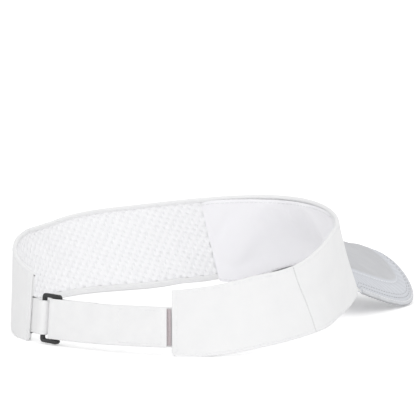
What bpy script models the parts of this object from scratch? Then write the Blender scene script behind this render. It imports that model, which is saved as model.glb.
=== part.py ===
"""Sun visor: a fabric band open over the head, an arched brim and a strap through a ring.

Metres, +Z up. The brim points to -Y and the wearer's right is -X. The visor rests on a table at Z = 0, on
its rear panel ends and on the two lowest stretches of the brim's edge.

The band's wall is described by three numbers: an angle round the head (0 at the front centre, 90 at the
wearer's right, 180 at the rear centre), an offset outward from the wall's outer face, and a height up the
wall from its lower edge. The rear pieces use the arc length round the wall in place of the angle.
"""
import math

import bmesh
import bpy
import numpy as np

# Clearances
GAP = 0.0003
LOOP_CLEARANCE = 0.0008
TAB_CLEARANCE = 0.0005
RING_SLOT_CLEARANCE = 0.0004
REST_CUT = 0.0005

# Plan of the wall's outer face: an egg, narrower in front
LOWER_HALF_WIDTH = 0.0851
LOWER_HALF_LENGTH = 0.0975
LOWER_PINCH = 0.22
LOWER_TUCK = 0.0074
TUCK_END_ANGLE = 100.0
TUCK_ROUNDNESS = 1.3
UPPER_HALF_WIDTH = 0.0817
UPPER_HALF_LENGTH = 0.0851
UPPER_PINCH = 0.23
UPPER_SHIFT = 0.0068
REAR_END_ANGLE = 154.0
CLOSURE_BULGE = 0.5

# Heights of the wall's edges over its lowest level
LOWER_TEMPLE_HEIGHT = 0.0022
LOWER_SIDE_HEIGHT = 0.0048
LOWER_BACK_HEIGHT = 0.0036
LOWER_REAR_HEIGHT = 0.0015
UPPER_FRONT_HEIGHT = 0.0494
UPPER_TEMPLE_HEIGHT = 0.0480
UPPER_SIDE_HEIGHT = 0.0475
UPPER_BACK_HEIGHT = 0.0402
UPPER_REAR_HEIGHT = 0.0345
TEMPLE_ANGLE = 60.0
SIDE_ANGLE = 88.0
BACK_ANGLE = 120.0
SEAT_ANGLE = 147.0
SEAT_DIP = 0.0003

# Panels and inner layers of the band
PANEL_THICKNESS = 0.0012
HEM_RETURN = 0.0012
HEM_HEIGHT = 0.0018
HEM_RADIUS = 0.0006
HEM_ROUNDING = 0.3
SEAM_LOWER_ANGLE = 103.2
SEAM_UPPER_ANGLE = 109.3
PANEL_CORNER_RADIUS = 0.003
BUCKRAM_THICKNESS = 0.0006
BUCKRAM_END_ANGLE = 36.0
BUCKRAM_MARGIN = 0.001
SWEATBAND_END_ANGLE = 39.0
SWEATBAND_PAD = 0.0040
SWEATBAND_EDGE = 0.0018
SWEATBAND_SKIN = 0.0005
SWEATBAND_ROUNDNESS = 0.6
SWEATBAND_LIFT = 0.0006
SWEATBAND_DROP = 0.0125
SWEATBAND_END_DROP = 0.0030
SWEATBAND_DROP_SHARPNESS = 4.0
SWEATBAND_BEND = 0.008
LINING_THICKNESS = 0.0008
TAPE_THICKNESS = 0.0007
TAPE_HEIGHT = 0.0032
EDGE_LIFT = 0.0009
FACING_LENGTH = 0.0085
FACING_THICKNESS = 0.0008

# Brim
BRIM_CORNER_ANGLE = 38.0
BRIM_LENGTH = 0.0521
BRIM_SLOPE = 19.15
BRIM_CORNER_HEIGHT = 0.0038
BRIM_ARCH_DROP = 0.0294
BRIM_TWIST = 0.078
BRIM_SQUARENESS = 4.0
BRIM_END_SHARE = 0.95
BRIM_COVER = 0.0005
BRIM_BOARD = 0.0012
BRIM_BOARD_MARGIN = 0.06
BINDING_THICKNESS = 0.0005
BINDING_WIDTH = 0.0024

# Strap, tab and ring
STRAP_WIDTH = 0.0200
STRAP_THICKNESS = 0.0012
STRAP_OVERLAP = 0.008
STRAP_LIFT_PANEL = 0.0048
STRAP_LIFT_RING = 0.0037
PATCH_THICKNESS = 0.0007
PATCH_MARGIN = 0.0010
LOOP_PATCH_START = 0.006
TAIL_END_GAP = 0.0022
HOOK_PATCH_LENGTH = 0.026
HOOK_PATCH_INSET = 0.0015
PEEL_DISTANCE = 0.011
TAB_WIDTH = 0.0172
TAB_THICKNESS = 0.0010
TAB_BAR_DISTANCE = 0.0100
RING_BAR_SPACING = 0.0076
RING_BAR_WIDTH = 0.0020
RING_BAR_DEPTH = 0.0020
RING_CORNER = 0.0022
RING_OFFSET = -0.0008

# Fineness of the faceted surfaces
STATION_STEP = 4.0
WALL_ROWS = 4
ARC_STEP = 0.004
FOLD_SEGMENTS = 10
BRIM_STATIONS = 32
BRIM_ROWS = 7
CLEAR_STEPS = 20
REST_STEPS = 60
MAX_REST_PITCH = 20.0
SMOOTH_ANGLE = 35.0
RING_SIDES = 8
RING_CORNER_STEPS = 3
CORNER_STEPS = 3
PAD_SEGMENTS = 8

# Finishes: base colour, roughness
SHELL_WHITE = ((0.90, 0.90, 0.90), 0.75)
MESH_WHITE = ((0.86, 0.86, 0.88), 0.85)
PAD_WHITE = ((0.87, 0.87, 0.89), 0.80)
BRIM_WHITE = ((0.80, 0.81, 0.83), 0.75)
BOARD_WHITE = ((0.75, 0.75, 0.74), 0.50)
STRAP_WHITE = ((0.86, 0.86, 0.86), 0.70)
FOAM_GREY = ((0.70, 0.70, 0.70), 0.95)
RING_BLACK = ((0.012, 0.012, 0.013), 0.35)


PLUMB = np.array([0.0, 0.0, 1.0])


def unit(vector):
    return vector / np.linalg.norm(vector)


def ease(share):
    """0 below 0, 1 above 1, and a smooth rise between."""
    share = min(max(share, 0.0), 1.0)
    return share * share * (3.0 - 2.0 * share)


def smooth_curve(knots, angle, first_slope):
    """Value on a smooth curve through (angle, value) knots, level at the last one."""
    angles = np.array([knot[0] for knot in knots])
    values = np.array([knot[1] for knot in knots])
    slopes = np.gradient(values, angles)
    slopes[-1] = 0.0
    if first_slope is not None:
        slopes[0] = first_slope
    i = int(np.clip(np.searchsorted(angles, angle) - 1, 0, len(angles) - 2))
    span = angles[i + 1] - angles[i]
    s = (angle - angles[i]) / span
    rise = values[i + 1] - values[i]
    bend = s * (1 - s) * ((1 - s) * (slopes[i] * span - rise) - s * (slopes[i + 1] * span - rise))
    return values[i] + s * rise + bend


def folded(angle):
    """The same angle on the wearer's right: 0 to 180 degrees."""
    angle = angle % 360.0
    return min(angle, 360.0 - angle)


def egg(angle, half_width, half_length, pinch, shift):
    """Plan point of an edge. The rear stretch between the panel ends is flattened towards its chord."""
    a = math.radians(angle)
    x = -half_width * math.sin(a) * (1.0 - pinch * math.cos(a))
    y = shift - half_length * math.cos(a)
    if folded(angle) > REAR_END_ANGLE:
        y_end = shift - half_length * math.cos(math.radians(REAR_END_ANGLE))
        y = y_end + CLOSURE_BULGE * (y - y_end)
    return x, y


def lower_plan(angle):
    """Plan point of the lower edge, which is tucked in towards the head behind the brim's corners."""
    x, y = egg(angle, LOWER_HALF_WIDTH, LOWER_HALF_LENGTH, LOWER_PINCH, 0.0)
    share = (folded(angle) - BRIM_CORNER_ANGLE) / (TUCK_END_ANGLE - BRIM_CORNER_ANGLE)
    if 0.0 < share < 1.0:
        x -= math.copysign(LOWER_TUCK * math.sin(math.pi * share) ** TUCK_ROUNDNESS, x)
    return x, y


CORNER_X = abs(lower_plan(BRIM_CORNER_ANGLE)[0])
CORNER_Y = lower_plan(BRIM_CORNER_ANGLE)[1]
FRONT_Y = lower_plan(0.0)[1]
ARCH = BRIM_ARCH_DROP / CORNER_X ** 2
BRIM_FALL = math.tan(math.radians(BRIM_SLOPE))


def brim_height(x, y):
    """Top face of the brim: it arches down to the sides and falls away forwards, faster at the sides."""
    fall = BRIM_FALL + BRIM_TWIST * (x / CORNER_X) ** 2
    return BRIM_CORNER_HEIGHT + ARCH * (CORNER_X ** 2 - x * x) + fall * (y - CORNER_Y)


def brim_normal(x, y):
    fall = BRIM_FALL + BRIM_TWIST * (x / CORNER_X) ** 2
    side_slope = 2.0 * x * (BRIM_TWIST * (y - CORNER_Y) / CORNER_X ** 2 - ARCH)
    return unit(np.array([-side_slope, -fall, 1.0]))


LOWER_KNOTS = [
    (BRIM_CORNER_ANGLE, BRIM_CORNER_HEIGHT),
    (TEMPLE_ANGLE, LOWER_TEMPLE_HEIGHT),
    (SIDE_ANGLE, LOWER_SIDE_HEIGHT),
    (BACK_ANGLE, LOWER_BACK_HEIGHT),
    (SEAT_ANGLE, LOWER_REAR_HEIGHT - SEAT_DIP),
    (REAR_END_ANGLE, LOWER_REAR_HEIGHT),
    (180.0, LOWER_REAR_HEIGHT),
]
UPPER_KNOTS = [
    (0.0, UPPER_FRONT_HEIGHT),
    (TEMPLE_ANGLE, UPPER_TEMPLE_HEIGHT),
    (SIDE_ANGLE, UPPER_SIDE_HEIGHT),
    (BACK_ANGLE, UPPER_BACK_HEIGHT),
    (REAR_END_ANGLE, UPPER_REAR_HEIGHT),
    (180.0, UPPER_REAR_HEIGHT),
]


def lower_edge(angle):
    """In front the wall stands on the brim, and behind the brim's corners its edge is a free curve."""
    x, y = lower_plan(angle)
    if folded(angle) < BRIM_CORNER_ANGLE:
        return np.array([x, y, brim_height(x, y)])
    return np.array([x, y, smooth_curve(LOWER_KNOTS, folded(angle), None)])


def upper_edge(angle):
    x, y = egg(angle, UPPER_HALF_WIDTH, UPPER_HALF_LENGTH, UPPER_PINCH, UPPER_SHIFT)
    return np.array([x, y, smooth_curve(UPPER_KNOTS, folded(angle), 0.0)])


def middle(angle):
    return 0.5 * (lower_edge(angle) + upper_edge(angle))


def wall_height(angle):
    return float(np.linalg.norm(upper_edge(angle) - lower_edge(angle)))


def wall_frame(angle):
    """Foot of the wall, its upward unit vector and its outward unit vector."""
    reach = 0.75 * STATION_STEP
    along = middle(angle + reach) - middle(angle - reach)
    foot = lower_edge(angle)
    up = unit(upper_edge(angle) - foot)
    return foot, up, unit(np.cross(up, along))


def wall_point(angle, offset, height):
    foot, up, out = wall_frame(angle)
    return foot + up * height + out * offset


ARC_ANGLES = np.linspace(0.0, 360.0, 721)
ARC_STEPS = [np.linalg.norm(middle(b) - middle(a)) for a, b in zip(ARC_ANGLES[:-1], ARC_ANGLES[1:])]
ARC_LENGTHS = np.concatenate([[0.0], np.cumsum(ARC_STEPS)])


def arc_at(angle):
    return float(np.interp(angle, ARC_ANGLES, ARC_LENGTHS))


def angle_at(arc):
    return float(np.interp(arc, ARC_LENGTHS, ARC_ANGLES))


# Levels of the layers, as offsets from the wall's outer face
PANEL_INNER = -PANEL_THICKNESS
HEM_INNER = PANEL_INNER - HEM_RETURN
LINING_OUTER = PANEL_INNER - GAP
LINING_INNER = LINING_OUTER - LINING_THICKNESS
TAPE_OUTER = LINING_INNER - GAP
TAPE_INNER = TAPE_OUTER - TAPE_THICKNESS
BUCKRAM_OUTER = PANEL_INNER - GAP
BUCKRAM_INNER = BUCKRAM_OUTER - BUCKRAM_THICKNESS
SWEATBAND_OUTER = BUCKRAM_INNER - GAP
BASE_MIDDLE = PANEL_INNER - GAP - STRAP_THICKNESS / 2
LOOP_PATCH_MIDDLE = BASE_MIDDLE + STRAP_THICKNESS / 2 + GAP + PATCH_THICKNESS / 2
HOOK_PATCH_MIDDLE = LOOP_PATCH_MIDDLE + PATCH_THICKNESS + GAP
TAIL_MIDDLE = HOOK_PATCH_MIDDLE + PATCH_THICKNESS / 2 + GAP + STRAP_THICKNESS / 2
TAB_OUTER_MIDDLE = PANEL_INNER - GAP - TAB_THICKNESS / 2
TAB_INNER_MIDDLE = TAB_OUTER_MIDDLE - TAB_THICKNESS - GAP
RIGHT_FACING_OUTER = BASE_MIDDLE - STRAP_THICKNESS / 2 - GAP
LEFT_FACING_OUTER = TAB_INNER_MIDDLE - TAB_THICKNESS / 2 - GAP
STRAP_FOLD_RADIUS = RING_BAR_DEPTH / 2 + LOOP_CLEARANCE + STRAP_THICKNESS / 2
TAB_FOLD_RADIUS = RING_BAR_WIDTH / 2 + TAB_CLEARANCE + TAB_THICKNESS / 2

# Places along the arc, from the front centre round the wearer's right
RIGHT_END_ARC = arc_at(REAR_END_ANGLE)
LEFT_END_ARC = arc_at(360.0 - REAR_END_ANGLE)
TAB_BAR_ARC = LEFT_END_ARC - TAB_BAR_DISTANCE
STRAP_BAR_ARC = TAB_BAR_ARC - RING_BAR_SPACING
PEEL_ARC = STRAP_BAR_ARC - PEEL_DISTANCE
FACING_ANGLE = angle_at(RIGHT_END_ARC - FACING_LENGTH)


def strap_lift(arc):
    """Height of the strap's lower edge, sloping from the panel end to the ring."""
    share = (arc - RIGHT_END_ARC) / (STRAP_BAR_ARC - RIGHT_END_ARC)
    return STRAP_LIFT_PANEL + (STRAP_LIFT_RING - STRAP_LIFT_PANEL) * share


RING_MIDDLE_HEIGHT = strap_lift(STRAP_BAR_ARC) + STRAP_WIDTH / 2


def brim_layer(share, row, depth):
    """Point of a brim layer: share -1 to 1 across, row 0 to 1 outward, depth below the top face.

    The layers' inner edges are plumb under the wall, and their outer edges are square to the brim.
    """
    angle = share * BRIM_CORNER_ANGLE
    inner = wall_point(angle, PANEL_INNER, 0.0)[:2]
    turn = share * math.pi / 2
    c = math.cos(turn)
    s = math.sin(turn)
    reach = (abs(c) ** BRIM_SQUARENESS + abs(s) ** BRIM_SQUARENESS) ** (-1.0 / BRIM_SQUARENESS)
    length = CORNER_Y - FRONT_Y + BRIM_LENGTH
    outer = np.array([-CORNER_X * s * reach, CORNER_Y - length * c * reach])
    x, y = inner * (1 - row) + outer * row
    nx, ny, nz = brim_normal(x, y)
    x -= nx * depth * row
    y -= ny * depth * row
    return np.array([x, y, brim_height(x, y) - depth / brim_normal(x, y)[2]])


BRIM_SHARES = np.linspace(-BRIM_END_SHARE, BRIM_END_SHARE, BRIM_STATIONS + 1)
BOARD_TOP = BRIM_COVER + GAP
BOARD_BOTTOM = BOARD_TOP + BRIM_BOARD
UNDER_TOP = BOARD_BOTTOM + GAP
BRIM_BOTTOM = UNDER_TOP + BRIM_COVER


def binding_section(share):
    """U-shaped section of the tape round the brim's edge, at one station."""
    edge = brim_layer(share, 1.0, 0.0)
    normal = unit(edge - brim_layer(share, 1.0, BRIM_BOTTOM))
    step = 0.5 * BRIM_END_SHARE / BRIM_STATIONS
    along = brim_layer(share + step, 1.0, 0.0) - brim_layer(share - step, 1.0, 0.0)
    out = unit(np.cross(normal, along))
    if np.dot(out, edge - brim_layer(share, 0.8, 0.0)) < 0:
        out = -out
    clear = GAP
    far = clear + BINDING_THICKNESS
    low = -BRIM_BOTTOM
    bevel = BINDING_THICKNESS / 2
    profile = [
        (-BINDING_WIDTH, clear),
        (-BINDING_WIDTH, far),
        (far - bevel, far),
        (far, far - bevel),
        (far, low - far + bevel),
        (far - bevel, low - far),
        (-BINDING_WIDTH, low - far),
        (-BINDING_WIDTH, low - clear),
        (clear, low - clear),
        (clear, clear),
    ]
    return [edge + out * o + normal * n for o, n in profile]


def tilted(point, pitch):
    c = math.cos(pitch)
    s = math.sin(pitch)
    return np.array([point[0], c * point[1] - s * point[2], s * point[1] + c * point[2]])


def rest_frame():
    """Pitch and shift that set the visor on the table, with its box centred over the origin in plan."""
    brim = [p for share in BRIM_SHARES for p in binding_section(share)]
    rear_angles = np.linspace(SEAT_ANGLE, REAR_END_ANGLE, 5)
    rear = [wall_point(angle, PANEL_INNER / 2, 0.0) for angle in rear_angles]
    low_pitch = math.radians(-MAX_REST_PITCH)
    high_pitch = math.radians(MAX_REST_PITCH)
    for _ in range(REST_STEPS):
        pitch = 0.5 * (low_pitch + high_pitch)
        brim_low = min(tilted(p, pitch)[2] for p in brim)
        rear_low = min(tilted(p, pitch)[2] for p in rear)
        if brim_low > rear_low:
            low_pitch = pitch
        else:
            high_pitch = pitch
    tail_outer = TAIL_MIDDLE + STRAP_THICKNESS / 2
    arcs = np.linspace(RIGHT_END_ARC, PEEL_ARC, 40)
    back = max(tilted(wall_point(angle_at(a), tail_outer, STRAP_LIFT_RING), pitch)[1] for a in arcs)
    front = min(tilted(p, pitch)[1] for p in brim)
    return pitch, np.array([0.0, -0.5 * (front + back), -brim_low - REST_CUT])


REST_PITCH, REST_SHIFT = rest_frame()


def at_rest(point):
    return tilted(point, REST_PITCH) + REST_SHIFT


def finish(name, colour, roughness):
    material = bpy.data.materials.new(name + "_finish")
    material.use_nodes = True
    shader = material.node_tree.nodes["Principled BSDF"]
    shader.inputs["Base Color"].default_value = (*colour, 1.0)
    shader.inputs["Roughness"].default_value = roughness
    shader.inputs["Metallic"].default_value = 0.0
    material.diffuse_color = (*colour, 1.0)
    return material


def add_object(name, bm, look, origin):
    """Put a finished mesh in the scene: faces outward, cut flat where it meets the table."""
    if min(v.co.z for v in bm.verts) < 0.0:
        everything = bm.verts[:] + bm.edges[:] + bm.faces[:]
        table = {"plane_co": (0, 0, 0), "plane_no": (0, 0, -1)}
        bmesh.ops.bisect_plane(bm, geom=everything, clear_outer=True, **table)
        bmesh.ops.holes_fill(bm, edges=[e for e in bm.edges if e.is_boundary], sides=0)
    bmesh.ops.recalc_face_normals(bm, faces=bm.faces)
    if bm.calc_volume(signed=True) < 0:
        bmesh.ops.reverse_faces(bm, faces=bm.faces)
    bmesh.ops.translate(bm, vec=-origin, verts=bm.verts)
    mesh = bpy.data.meshes.new(name)
    bm.to_mesh(mesh)
    bm.free()
    mesh.materials.append(finish(name, *look))
    mesh.shade_smooth()
    mesh.set_sharp_from_angle(angle=math.radians(SMOOTH_ANGLE))
    obj = bpy.data.objects.new(name, mesh)
    obj.location = origin
    bpy.context.collection.objects.link(obj)
    return obj


def loft(name, loops, look, origin=(0.0, 0.0, 0.0)):
    """Solid through a row of equal point loops, closed by a face at each end."""
    bm = bmesh.new()
    rings = [[bm.verts.new(at_rest(p)) for p in loop] for loop in loops]
    for one, two in zip(rings[:-1], rings[1:]):
        count = len(one)
        for i in range(count):
            j = (i + 1) % count
            bm.faces.new((one[i], one[j], two[j], two[i]))
    bm.faces.new(rings[0])
    bm.faces.new(rings[-1])
    return add_object(name, bm, look, np.array(origin))


def sleeve(name, outer_loops, inner_loops, look):
    """Tube through a row of outer and inner loops, open at both ends."""
    bm = bmesh.new()
    outer = [[bm.verts.new(at_rest(p)) for p in loop] for loop in outer_loops]
    inner = [[bm.verts.new(at_rest(p)) for p in loop] for loop in inner_loops]
    count = len(outer[0])
    for i in range(count):
        j = (i + 1) % count
        for k in range(len(outer) - 1):
            bm.faces.new((outer[k][i], outer[k][j], outer[k + 1][j], outer[k + 1][i]))
            bm.faces.new((inner[k][i], inner[k][j], inner[k + 1][j], inner[k + 1][i]))
        for k in (0, -1):
            bm.faces.new((outer[k][i], outer[k][j], inner[k][j], inner[k][i]))
    return add_object(name, bm, look, np.zeros(3))


def stations(first, last):
    """Angles from first to last. Those between are whole station steps, which all layers share."""
    margin = STATION_STEP / 4
    whole = np.arange(math.ceil(first / STATION_STEP), math.floor(last / STATION_STEP) + 1) * STATION_STEP
    between = [a for a in whole if first + margin < a < last - margin]
    return np.array([first, *between, last])


def wall_loop(low_angle, high_angle, section):
    """Section of (offset, height) points, leaning from one angle at the foot to another at the top."""
    height = wall_height(0.5 * (low_angle + high_angle))
    loop = []
    for offset, h in section:
        angle = low_angle + (high_angle - low_angle) * h / height
        loop.append(wall_point(angle, offset, h))
    return loop


def brim_clear_height(angle, offset):
    """Height up the wall where a layer at this offset clears the top of the brim."""
    height = 0.0
    if folded(angle) < BRIM_CORNER_ANGLE:
        for _ in range(CLEAR_STEPS):
            x, y, z = wall_point(angle, offset, height)
            height += brim_height(x, y) + GAP / brim_normal(x, y)[2] - z
    return max(height, 0.0)


def face_points(offset, first, last):
    """Points of one face of a layer, in rows from one height to another."""
    return [(offset, h) for h in np.linspace(first, last, WALL_ROWS + 1)]


def panel_section(outer_foot, inner_foot, top):
    """Outer wall whose top is turned over to the inside as a hem."""
    r = HEM_RADIUS
    hem = [
        (-HEM_ROUNDING * r, top - HEM_ROUNDING * r),
        (-r, top),
        (HEM_INNER + r, top),
        (HEM_INNER + HEM_ROUNDING * r, top - HEM_ROUNDING * r),
        (HEM_INNER, top - r),
        (HEM_INNER, top - HEM_HEIGHT),
    ]
    outer = face_points(0.0, outer_foot, top - r)
    return outer + hem + face_points(PANEL_INNER, top - HEM_HEIGHT, inner_foot)


def slab_section(outer, inner, foot, top):
    return face_points(outer, foot, top) + face_points(inner, top, foot)


def front_panel():
    seam_gap = math.degrees(GAP / LOWER_HALF_WIDTH)
    low = SEAM_LOWER_ANGLE - seam_gap
    high = SEAM_UPPER_ANGLE - seam_gap
    inner_angles = stations(-BRIM_CORNER_ANGLE, BRIM_CORNER_ANGLE)
    outer_angles = stations(BRIM_CORNER_ANGLE, low)[1:]
    angles = np.concatenate([-outer_angles[::-1], inner_angles, outer_angles])
    loops = []
    for angle in angles:
        lean = max(0.0, (abs(angle) - BRIM_CORNER_ANGLE) / (low - BRIM_CORNER_ANGLE))
        top_angle = angle + math.copysign(lean * (high - low), angle)
        outer_foot = brim_clear_height(angle, 0.0)
        inner_foot = brim_clear_height(angle, PANEL_INNER)
        section = panel_section(outer_foot, inner_foot, wall_height(0.5 * (angle + top_angle)))
        loops.append(wall_loop(angle, top_angle, section))
    loft("front_panel", loops, SHELL_WHITE)


def rear_panel(name, side):
    """Rear panel on one side: side 1 is the wearer's right, -1 the left."""
    corner_angle = angle_at(RIGHT_END_ARC - PANEL_CORNER_RADIUS)
    loops = []
    for low in stations(SEAM_LOWER_ANGLE, corner_angle):
        lean = (corner_angle - low) / (corner_angle - SEAM_LOWER_ANGLE)
        high = low + lean * (SEAM_UPPER_ANGLE - SEAM_LOWER_ANGLE)
        section = panel_section(0.0, 0.0, wall_height(0.5 * (low + high)))
        loops.append(wall_loop(side * low, side * high, section))
    for turn in np.linspace(0.0, math.pi / 2, CORNER_STEPS + 1)[1:]:
        angle = angle_at(RIGHT_END_ARC - PANEL_CORNER_RADIUS * (1.0 - math.sin(turn)))
        foot = PANEL_CORNER_RADIUS * (1.0 - math.cos(turn))
        section = panel_section(foot, foot, wall_height(angle))
        loops.append(wall_loop(side * angle, side * angle, section))
    loft(name, loops, SHELL_WHITE)


def front_buckram():
    loops = []
    for angle in stations(-BUCKRAM_END_ANGLE, BUCKRAM_END_ANGLE):
        foot = brim_clear_height(angle, BUCKRAM_INNER) + BUCKRAM_MARGIN
        top = wall_height(angle) - HEM_HEIGHT - BUCKRAM_MARGIN
        loops.append(wall_loop(angle, angle, slab_section(BUCKRAM_OUTER, BUCKRAM_INNER, foot, top)))
    loft("front_buckram", loops, BOARD_WHITE)


def sweatband_drop(angle):
    """How far the sweatband hangs below the wall, because its lower edge arches less than the brim."""
    share = min(folded(angle) / BRIM_CORNER_ANGLE, 1.0)
    extra = SWEATBAND_DROP - SWEATBAND_END_DROP
    return SWEATBAND_END_DROP + extra * (1.0 - share ** SWEATBAND_DROP_SHARPNESS)


def sweatband_point(angle, offset, height):
    """Point of the sweatband: it leans with the wall and bends to hang plumb below the wall's foot."""
    foot, up, out = wall_frame(angle)
    bend = SWEATBAND_BEND * sweatband_drop(angle) / SWEATBAND_DROP
    leaning = 0.5 * (height + math.hypot(height, bend))
    return foot + up * leaning + PLUMB * (height - leaning) + out * offset


def pad_section(angle, inset):
    """Padded section with a flat back, thin edges and a crown towards the head."""
    foot = SWEATBAND_LIFT + inset - sweatband_drop(angle)
    top = wall_height(angle) - HEM_HEIGHT - GAP - inset
    back = SWEATBAND_OUTER - inset
    edge = SWEATBAND_OUTER - SWEATBAND_EDGE + inset
    crown = SWEATBAND_PAD - SWEATBAND_EDGE
    section = [(back, h) for h in np.linspace(foot, top, PAD_SEGMENTS + 1)]
    for i in range(PAD_SEGMENTS + 1):
        share = i / PAD_SEGMENTS
        rise = crown * math.sin(math.pi * share) ** SWEATBAND_ROUNDNESS
        section.append((edge - rise, top + (foot - top) * share))
    return section


def sweatband():
    angles = stations(-SWEATBAND_END_ANGLE, SWEATBAND_END_ANGLE)
    insets = (0.0, SWEATBAND_SKIN, SWEATBAND_SKIN + GAP)
    loops = []
    for inset in insets:
        loops.append([[sweatband_point(a, *p) for p in pad_section(a, inset)] for a in angles])
    outer, inner, foam = loops
    sleeve("sweatband_cover", outer, inner, PAD_WHITE)
    loft("sweatband_foam", foam, FOAM_GREY)


def lining(name, side):
    first = SWEATBAND_END_ANGLE + math.degrees(GAP / CORNER_X)
    last = FACING_ANGLE - math.degrees(GAP / LOWER_HALF_WIDTH)
    loops = []
    for angle in stations(first, last):
        top = wall_height(angle) - HEM_HEIGHT - GAP
        section = slab_section(LINING_OUTER, LINING_INNER, EDGE_LIFT, top)
        loops.append(wall_loop(side * angle, side * angle, section))
    loft(name, loops, MESH_WHITE)


def bottom_tape(name, side):
    first = SWEATBAND_END_ANGLE + 2.0 * math.degrees(GAP / CORNER_X)
    last = FACING_ANGLE - math.degrees(GAP / LOWER_HALF_WIDTH)
    section = slab_section(TAPE_OUTER, TAPE_INNER, EDGE_LIFT, EDGE_LIFT + TAPE_HEIGHT)
    loops = [wall_loop(side * a, side * a, section) for a in stations(first, last)]
    loft(name, loops, SHELL_WHITE)


def end_facing(name, side, outer):
    """Plain facing inside a rear end, over the sewn end of the strap or tab."""
    loops = []
    for angle in stations(FACING_ANGLE, REAR_END_ANGLE):
        top = wall_height(angle) - HEM_HEIGHT - GAP
        section = slab_section(outer, outer - FACING_THICKNESS, EDGE_LIFT, top)
        loops.append(wall_loop(side * angle, side * angle, section))
    loft(name, loops, SHELL_WHITE)


def brim_sheet(name, top, bottom, last_row, look):
    """One layer of the brim, between two depths below its top face."""
    rows = np.linspace(0.0, last_row, BRIM_ROWS + 1)
    bm = bmesh.new()
    faces = []
    for depth in (top, bottom):
        grid = [[bm.verts.new(at_rest(brim_layer(s, r, depth))) for r in rows] for s in BRIM_SHARES]
        faces.append(grid)
        for one, two in zip(grid[:-1], grid[1:]):
            for i in range(BRIM_ROWS):
                bm.faces.new((one[i], one[i + 1], two[i + 1], two[i]))
    above, below = faces
    for k in range(BRIM_STATIONS):
        for i in (0, BRIM_ROWS):
            bm.faces.new((above[k][i], above[k + 1][i], below[k + 1][i], below[k][i]))
    for i in range(BRIM_ROWS):
        for k in (0, BRIM_STATIONS):
            bm.faces.new((above[k][i], above[k][i + 1], below[k][i + 1], below[k][i]))
    add_object(name, bm, look, np.zeros(3))


def brim():
    brim_sheet("brim_top_cover", 0.0, BRIM_COVER, 1.0, BRIM_WHITE)
    brim_sheet("brim_board", BOARD_TOP, BOARD_BOTTOM, 1.0 - BRIM_BOARD_MARGIN, BOARD_WHITE)
    brim_sheet("brim_under_cover", UNDER_TOP, BRIM_BOTTOM, 1.0, BRIM_WHITE)
    loft("brim_edge_binding", [binding_section(share) for share in BRIM_SHARES], BRIM_WHITE)


def ribbon(name, path, thickness, lift, width, look, origin=(0.0, 0.0, 0.0)):
    """Flat webbing along a path of (arc, offset) points, with its lower edge at lift(arc)."""
    points = np.array(path)
    tangents = np.gradient(points, axis=0)
    loops = []
    for (arc, offset), (da, dd) in zip(points, tangents):
        length = math.hypot(da, dd)
        na = -dd / length * thickness / 2
        nd = da / length * thickness / 2
        foot = lift(arc)
        corners = [(1, foot), (1, foot + width), (-1, foot + width), (-1, foot)]
        loops.append([wall_point(angle_at(arc + s * na), offset + s * nd, h) for s, h in corners])
    return loft(name, loops, look, origin)


def run(first, last, first_offset, last_offset):
    """Path points along the wall that change their offset smoothly on the way."""
    count = max(2, int(math.ceil(abs(last - first) / ARC_STEP)))
    path = []
    for share in np.linspace(0.0, 1.0, count + 1):
        offset = first_offset + (last_offset - first_offset) * ease(share)
        path.append((first + (last - first) * share, offset))
    return path


def fold(centre_arc, radius, direction, first_sign):
    """Half turn round a bar, from one side of it to the other."""
    points = []
    for turn in np.linspace(-math.pi / 2, math.pi / 2, FOLD_SEGMENTS + 1)[1:-1]:
        arc = centre_arc + direction * radius * math.cos(turn)
        points.append((arc, RING_OFFSET - first_sign * radius * math.sin(turn)))
    return points


def strap():
    """Strap sewn in the right rear end, through the ring and folded back over itself."""
    base_at_bar = RING_OFFSET - STRAP_FOLD_RADIUS
    tail_at_bar = RING_OFFSET + STRAP_FOLD_RADIUS
    path = run(RIGHT_END_ARC - STRAP_OVERLAP, PEEL_ARC, BASE_MIDDLE, BASE_MIDDLE)
    path += run(PEEL_ARC, STRAP_BAR_ARC, BASE_MIDDLE, base_at_bar)[1:]
    path += fold(STRAP_BAR_ARC, STRAP_FOLD_RADIUS, 1.0, -1.0)
    path += run(STRAP_BAR_ARC, PEEL_ARC, tail_at_bar, TAIL_MIDDLE)
    ribbon("strap_base", path, STRAP_THICKNESS, strap_lift, STRAP_WIDTH, STRAP_WHITE)

    def patch_lift(arc):
        return strap_lift(arc) + PATCH_MARGIN

    patch_width = STRAP_WIDTH - 2 * PATCH_MARGIN
    loop_path = run(RIGHT_END_ARC + LOOP_PATCH_START, PEEL_ARC, LOOP_PATCH_MIDDLE, LOOP_PATCH_MIDDLE)
    ribbon("strap_loop_patch", loop_path, PATCH_THICKNESS, patch_lift, patch_width, STRAP_WHITE)

    tail_start = PEEL_ARC - GAP
    tail_end = RIGHT_END_ARC + TAIL_END_GAP
    hinge_offset = TAIL_MIDDLE + STRAP_THICKNESS / 2
    hinge_height = strap_lift(PEEL_ARC) + STRAP_WIDTH / 2
    hinge = at_rest(wall_point(angle_at(PEEL_ARC), hinge_offset, hinge_height))
    tail_path = run(tail_start, tail_end, TAIL_MIDDLE, TAIL_MIDDLE)
    ribbon("strap_tail", tail_path, STRAP_THICKNESS, strap_lift, STRAP_WIDTH, STRAP_WHITE, hinge)
    hook_end = tail_end + HOOK_PATCH_INSET
    hook_path = run(hook_end + HOOK_PATCH_LENGTH, hook_end, HOOK_PATCH_MIDDLE, HOOK_PATCH_MIDDLE)
    ribbon("strap_hook_patch", hook_path, PATCH_THICKNESS, patch_lift, patch_width, STRAP_WHITE, hinge)


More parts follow.
